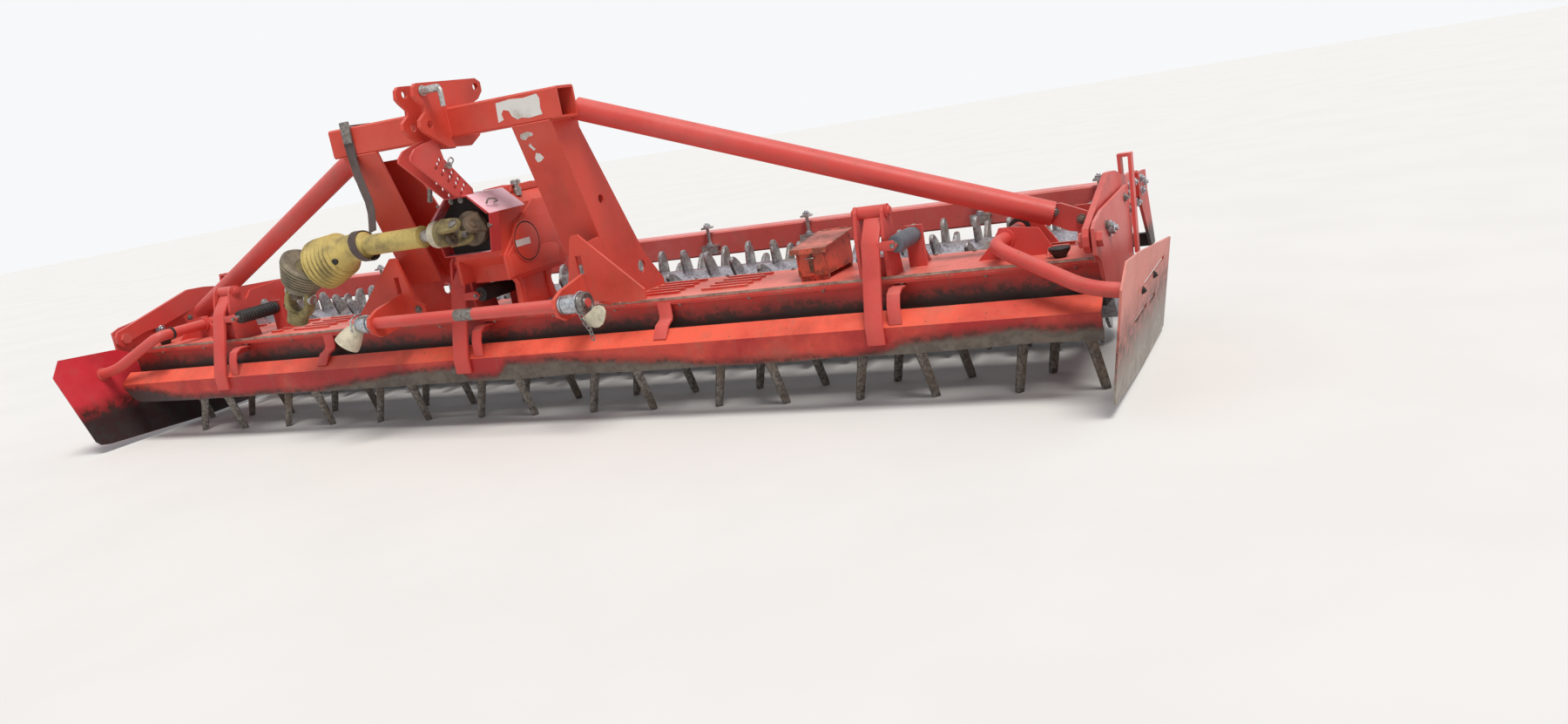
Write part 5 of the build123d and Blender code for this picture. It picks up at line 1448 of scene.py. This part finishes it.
@dataclass
class LowerHitch:
    """Bushes, rings, flap, cup and chains on the lower pins."""

    y: float = -376.0
    z: float = 431.0
    # Distance along the pin and radius of each ring
    bush: tuple = ((398, 26), (399, 29), (407, 29), (408, 25), (412, 24), (413, 30), (430, 31), (452, 30),
                   (462, 27), (463, 15))
    right_end: tuple = ((462, 20), (464, 30), (474, 31), (478, 28), (480, 35), (490, 36), (495, 34),
                        (496, 29), (491, 27), (491, 19), (495, 17), (495, 13))

    def build(self, bench: Bench) -> None:
        """Make and hand over both ends."""
        centre = spot(0, self.y, self.z)
        parts = [bench.turned(centre, RIGHT * side, self.bush, 32, Finish.ZINC) for side in (-1, 1)]
        parts.append(bench.turned(centre, RIGHT, self.right_end, 36, Finish.DULL))
        parts.append(bench.turned(centre, RIGHT, [(480, 8), (490, 12), (497, 12), (499, 9)], 24, Finish.RED))
        for place, wide in ((0.472, 36), (-0.466, 35)):
            ring = []
            for step in range(17):
                a = 2 * math.pi * step / 16
                around = Vector((0.003 * math.cos(a), wide / 1000 * math.cos(a), wide / 1000 * math.sin(a)))
                ring.append(centre + RIGHT * place + around)
            parts.append(bench.bar(ring, 3.0, 0, 8, Finish.ZINC))
        parts.append(self._flap(bench))
        parts.append(self._chain(bench, [spot(486, self.y - 34, 402), spot(494, self.y - 37, 376),
                                         spot(512, self.y - 37, 352), spot(516, self.y - 37, 322)]))
        parts.append(self._chain(bench, [spot(-478, self.y - 30, 412), spot(-484, self.y - 34, 380)]))
        parts.append(self._cone(bench))
        parts.append(bench.turned(centre, RIGHT, [(-30, 20.1), (-10, 20.35), (20, 20.35), (46, 20.1)], 32,
                                  Finish.DULL))
        bench.hand_over(bench.join(parts), "lower_pin_fittings")

    def _flap(self, bench: Bench) -> Item:
        """The cream flap that hangs by the right pin."""
        outline = [(488, 392), (498, 372), (508, 362), (524, 356), (540, 357), (556, 366), (568, 384),
                   (575, 404), (570, 418), (556, 424), (538, 423), (524, 412), (506, 402)]
        return bench.front_plate(self.y - 24, outline, 7, 2.5, Finish.CREAM)

    def _cone(self, bench: Bench) -> Item:
        """The cream cup on the left pin, its mouth down and to the front."""
        start = spot(-470, self.y, self.z - 4)
        way = Vector((-0.62, -0.30, -0.72))
        steps = [(0, 16), (2, 23), (12, 26), (32, 34), (56, 41), (76, 44), (80, 44), (80, 40), (52, 36),
                 (26, 19)]
        return bench.turned(start, way, steps, 36, Finish.CREAM)

    def _chain(self, bench: Bench, path: Sequence[Vector]) -> Item:
        """A short chain along a path.

        Args:
            bench: Where it is made.
            path: Its corners.

        Returns:
            The chain.
        """
        bpy.ops.object.select_all(action="DESELECT")
        bpy.ops.mesh.primitive_torus_add(major_radius=0.0065, minor_radius=0.0018, major_segments=16,
                                         minor_segments=8)
        link = bpy.context.active_object
        bpy.ops.object.mode_set(mode="EDIT")
        bpy.ops.mesh.select_all(action="SELECT")
        bpy.ops.transform.rotate(value=math.pi / 2, orient_axis="X", center_override=(0, 0, 0))
        bpy.ops.transform.resize(value=(1, 1, 1.5), center_override=(0, 0, 0))
        bpy.ops.object.mode_set(mode="OBJECT")
        bench.finishes.dress(link, Finish.DULL)
        places = []
        for start, end in zip(path, path[1:]):
            count = max(1, round((end - start).length / 0.0135))
            for number in range(count):
                places.append(aimed(start.lerp(end, (number + 0.5) / count), end - start,
                                    math.pi / 2 * (len(places) % 2)))
        return bench.copies(link, places)


@dataclass
class FrameBolts:
    """Bolts and nuts of the arms, panels, braces and gussets, and the caps of the arms' eyes."""

    # y and z of the bolts on each side, in millimetres
    end_plate: tuple = ((270, 480), (-60, 452))
    brace_foot: tuple = ((1842, 84, 486), (1918, 84, 456), (322, -232, 440))
    arm: tuple = ((420, 470), (470, 490), (560, 490), (600, 420), (430, 420))
    bearing_plate: tuple = ((640, 490), (700, 470), (640, 450))
    pivot: tuple = (-21, 437)

    def build(self, bench: Bench) -> None:
        """Make and hand over the bolts of each body."""
        frame, arms, pivots = [], [], []
        for side in (-1, 1):
            outward = Vector((side, 0, 0))
            frame += [aimed(spot(side * 2010, y, z), outward) for y, z in self.end_plate]
            frame += [aimed(spot(side * x, y, z), FRONT) for x, y, z in self.brace_foot]
            arms += [aimed(spot(side * 1994, y, z), outward) for y, z in self.arm]
            arms += [aimed(spot(side * 2004, y, z), outward) for y, z in self.bearing_plate]
            pivots.append(aimed(spot(side * 2014, *self.pivot), outward))
            pivots.append(aimed(spot(side * 1986, *self.pivot), -outward))
        bench.hand_over_bolts(11, Finish.DULL, frame, "frame_bolts")
        bench.hand_over_bolts(12, Finish.ZINC, arms, "arm_bolts", "roller_frame")
        bench.hand_over_bolts(17, Finish.ZINC, pivots, "arm_pivot_bolts")
        cap = [(0, 20), (1, 21), (5, 21), (6, 14), (12, 13), (13, 11)]
        eyes = [bench.turned(spot(arm.x + side * 47, EYE_Y, EYE_Z), Vector((side, 0, 0)), cap, 24, Finish.RED)
                for arm in ARMS for side in (-1, 1)]
        bench.hand_over(bench.join(eyes), "eye_caps")


@dataclass
class Deflectors:
    """The cranked tubes of the side deflectors, their collars and bolts."""

    hinge_x: float = 1715.0
    hinge_z: float = 437.0
    radius: float = 20.8
    end_z: float = 309.0
    plate_slope: float = 0.191

    def plate_x(self, z: float) -> float:
        """How far out the leaning plate is at a height."""
        return 2042 + (z - 48) * self.plate_slope

    def build(self, bench: Bench) -> None:
        """Make and hand over both sides."""
        for name, side, knee_y, end_y, bend in (("left", -1, -236, -256, 40), ("right", 1, -150, -275, 62)):
            body = f"deflector_{name}"
            path = [spot(side * self.hinge_x, 181, self.hinge_z),
                    spot(side * self.hinge_x, knee_y, self.hinge_z), spot(side * 1985, end_y, 325),
                    spot(side * self.plate_x(self.end_z), end_y, self.end_z - 1)]
            tube = bench.bar(path, self.radius, bend, 24, Finish.RED)
            collar = bench.turned(path[-1], Vector((side, 0, -0.1)), [(-8, 22), (-6, 27), (-1, 27)], 28,
                                  Finish.RED)
            bench.hand_over(bench.join([tube, collar]), f"cranked_tube_{name}",
                            [f"deflector_crank_{name}"], body)
            out = Vector((side, 0, -self.plate_slope)).normalized()
            places = [aimed(spot(side * (self.plate_x(z) + 6), y, z), out)
                      for y, z in ((156, 262), (-66, 264))]
            bench.hand_over_bolts(9, Finish.GRIME, places, f"plate_bolts_{name}", body)
        self._collars(bench)

    def _collars(self, bench: Bench) -> None:
        """Collars on the hinge tubes and the rubber buffers."""
        rings = [bench.turned(spot(-self.hinge_x, -166, self.hinge_z), FRONT, [
            (0, 21.5), (0, 25), (9, 25), (9, 21.5)], 28, Finish.GRIME)]
        for side in (-1, 1):
            x = side * self.hinge_x
            rings.append(bench.turned(spot(x, 0, self.hinge_z), FRONT, [
                (10, 23), (10, 29), (17, 29), (18, 23)], 28, Finish.RED))
            rings.append(bench.turned(spot(x, 166, self.hinge_z), FRONT, [
                (0, 23), (0, 34), (6, 34), (7, 23)], 28, Finish.GRIME))
            rings.append(bench.turned(spot(side * 1883, -86, 379), UP, [
                (0, 16), (5, 18), (22, 30), (28, 31), (31, 27), (31, 10)], 24, Finish.RUBBER))
        bench.hand_over(bench.join(rings), "hinge_collars")


@dataclass
class ToolBoxFittings:
    """Catch, lip and bands of the tool box."""

    x: float = 1129.5

    def build(self, bench: Bench) -> None:
        """Make and hand over the pieces."""
        band = [(-87, 398), (-84, 398), (-84, 476), (-87, 476)]
        edge = [(-88, 397), (-82, 397), (-82, 478), (-88, 478)]
        parts = [bench.side_plate(self.x - 8, band, 16, 0.6, Finish.BOX)]
        parts += [bench.side_plate(self.x + left, edge, 5, 1, Finish.BOX) for left in (-46.5, 41.5)]
        hoop = [spot(self.x + x, y, 452) for x, y in ((-14, -88), (-14, -96), (14, -96), (14, -88))]
        parts.append(bench.bar(hoop, 2.6, 4, 8, Finish.DULL))
        bench.hand_over(bench.join(parts), "tool_box_catch")


@dataclass
class AdjusterFittings:
    """The nuts of the scraper adjusters."""

    places: tuple = (-1318, 385, 809, 1463, 1874)
    y: float = 632.0
    heights: tuple = (436, 508)

    def build(self, bench: Bench) -> None:
        """Make and hand over the nuts."""
        nuts = [aimed(spot(x, self.y, z), UP) for x in self.places for z in self.heights]
        bench.hand_over_bolts(13, Finish.ZINC, nuts, "adjuster_nuts", "roller_frame")


NODE_FINISHES = {
    "gear_trough": Finish.TROUGH, "trough_cover": Finish.COVER, "levelling_board": Finish.BOARD,
    "headstock_beam": Finish.ORANGE, "headstock_leg": Finish.ORANGE, "hitch_gusset": Finish.ORANGE,
    "top_link_head": Finish.ORANGE, "perforated_strut": Finish.RED, "gearbox": Finish.CAST,
    "input_guard": Finish.GUARD, "rear_beam": Finish.PANEL, "drive_shaft": Finish.YELLOW,
    "shaft_strap": Finish.WEBBING,
    "rotor_": Finish.TINE, "packer_roller": Finish.ROLLER, "scraper_bar": Finish.TROUGH,
    "scraper_adjusters": Finish.BARE, "lower_hitch_bar": Finish.RED, "top_link_pin": Finish.BARE,
    "board_springs": Finish.RUBBER, "tool_box": Finish.BOX, "deflector_plate_left": Finish.PLATE_LEFT,
    "deflector_plate_right": Finish.PLATE_RIGHT, "end_plate": Finish.PANEL,
}


def dress_nodes(nodes: dict[str, Item], finishes: Finishes) -> None:
    """Give every CAD node its finish.

    Args:
        nodes: The frame's nodes by name.
        finishes: The finishes.
    """
    for name, item in nodes.items():
        starts = [key for key in NODE_FINISHES if name.startswith(key)]
        finish = NODE_FINISHES[max(starts, key=len)] if starts else Finish.RED
        finishes.dress(item, finish)
        log.info("dressed %s with %s", name, finish.value.name)


@dataclass
class Studio:
    """Floor, light and the camera at the photograph's view."""

    camera_at: Vector = field(default_factory=lambda: spot(2614, -3280, 923))
    forward: Vector = field(default_factory=lambda: Vector((-0.4448, 0.8694, -0.2153)))
    right: Vector = field(default_factory=lambda: Vector((0.8938, 0.4156, -0.1684)))
    focal: float = 1334.1
    frame_width: float = 1800.0
    sensor: float = 36.0
    floor_colour: Colour = (0.80, 0.79, 0.77)
    sky_colour: Colour = (0.90, 0.93, 1.0)
    sky_strength: float = 0.44
    backdrop_colour: Colour = (0.93, 0.94, 0.95)
    sun_colour: Colour = (1.0, 0.97, 0.92)
    sun_strength: float = 2.6
    sun_width: float = 25.0

    def build(self) -> None:
        """Make the floor, lamps, world and camera."""
        self._floor()
        self._light()
        self._camera()

    def _floor(self) -> None:
        """A plain pale floor under the machine."""
        bpy.ops.mesh.primitive_plane_add(size=60, location=(0, 0, -0.0005))
        floor = bpy.context.active_object
        floor.name = "floor"
        g = Graph("floor_finish")
        mottle = g.noise(1.5, 3).ramp(0.35, 0.65)
        colour = g.blend(mottle, self.floor_colour, scaled(self.floor_colour, 0.975))
        floor.data.materials.append(g.finish(colour, 0.9))

    def _light(self) -> None:
        """An even sky, a paler backdrop for what the camera sees in it, and one large soft lamp."""
        world = bpy.data.worlds.new("studio")
        bpy.context.scene.world = world
        world.use_nodes = True
        tree = world.node_tree
        sky = tree.nodes["Background"]
        sky.inputs["Color"].default_value = (*self.sky_colour, 1)
        sky.inputs["Strength"].default_value = self.sky_strength
        backdrop = tree.nodes.new("ShaderNodeBackground")
        backdrop.inputs["Color"].default_value = (*self.backdrop_colour, 1)
        backdrop.inputs["Strength"].default_value = 1.0
        path = tree.nodes.new("ShaderNodeLightPath")
        seen = path.outputs["Is Camera Ray"]
        for ray in ("Is Transmission Ray", "Is Glossy Ray"):
            either = tree.nodes.new("ShaderNodeMath")
            either.operation = "MAXIMUM"
            tree.links.new(seen, either.inputs[0])
            tree.links.new(path.outputs[ray], either.inputs[1])
            seen = either.outputs[0]
        mix = tree.nodes.new("ShaderNodeMixShader")
        for source, socket in zip((seen, sky.outputs[0], backdrop.outputs[0]), mix.inputs):
            tree.links.new(source, socket)
        tree.links.new(mix.outputs[0], tree.nodes["World Output"].inputs["Surface"])
        bpy.ops.object.light_add(type="SUN", rotation=(math.radians(24), math.radians(12), math.radians(28)))
        sun = bpy.context.active_object
        sun.name = "key_light"
        sun.data.energy = self.sun_strength
        sun.data.angle = math.radians(self.sun_width)
        sun.data.color = self.sun_colour

    def _camera(self) -> None:
        """The camera that the photograph's own measures give."""
        data = bpy.data.cameras.new("photo_view")
        camera = bpy.data.objects.new("photo_view", data)
        bpy.context.scene.collection.objects.link(camera)
        forward = self.forward.normalized()
        right = (self.right - forward * self.right.dot(forward)).normalized()
        up = right.cross(forward)
        turn = Matrix((right, up, -forward)).transposed().to_4x4()
        camera.matrix_world = Matrix.Translation(self.camera_at) @ turn
        data.sensor_width = self.sensor
        data.lens = self.focal / self.frame_width * self.sensor
        data.clip_end = 100
        bpy.context.scene.camera = camera


def main() -> None:
    """Build the scene in order."""
    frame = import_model()
    finishes = Finishes()
    bpy.ops.object.select_all(action="DESELECT")
    Studio().build()
    dress_nodes(frame["nodes"], finishes)
    bench = Bench(finishes)
    for assembly in (DriveShaft(), Roller(), Rotors(), BoardSprings(), LevellingBoard(), TroughFittings(),
                     Headstock(), Strut(), BoardArms(), Gearbox(), LowerHitch(), FrameBolts(),
                     Deflectors(), ToolBoxFittings(), AdjusterFittings()):
        assembly.build(bench)
    bpy.context.scene.view_settings.view_transform = "Standard"


if __name__ == "__main__":
    main()
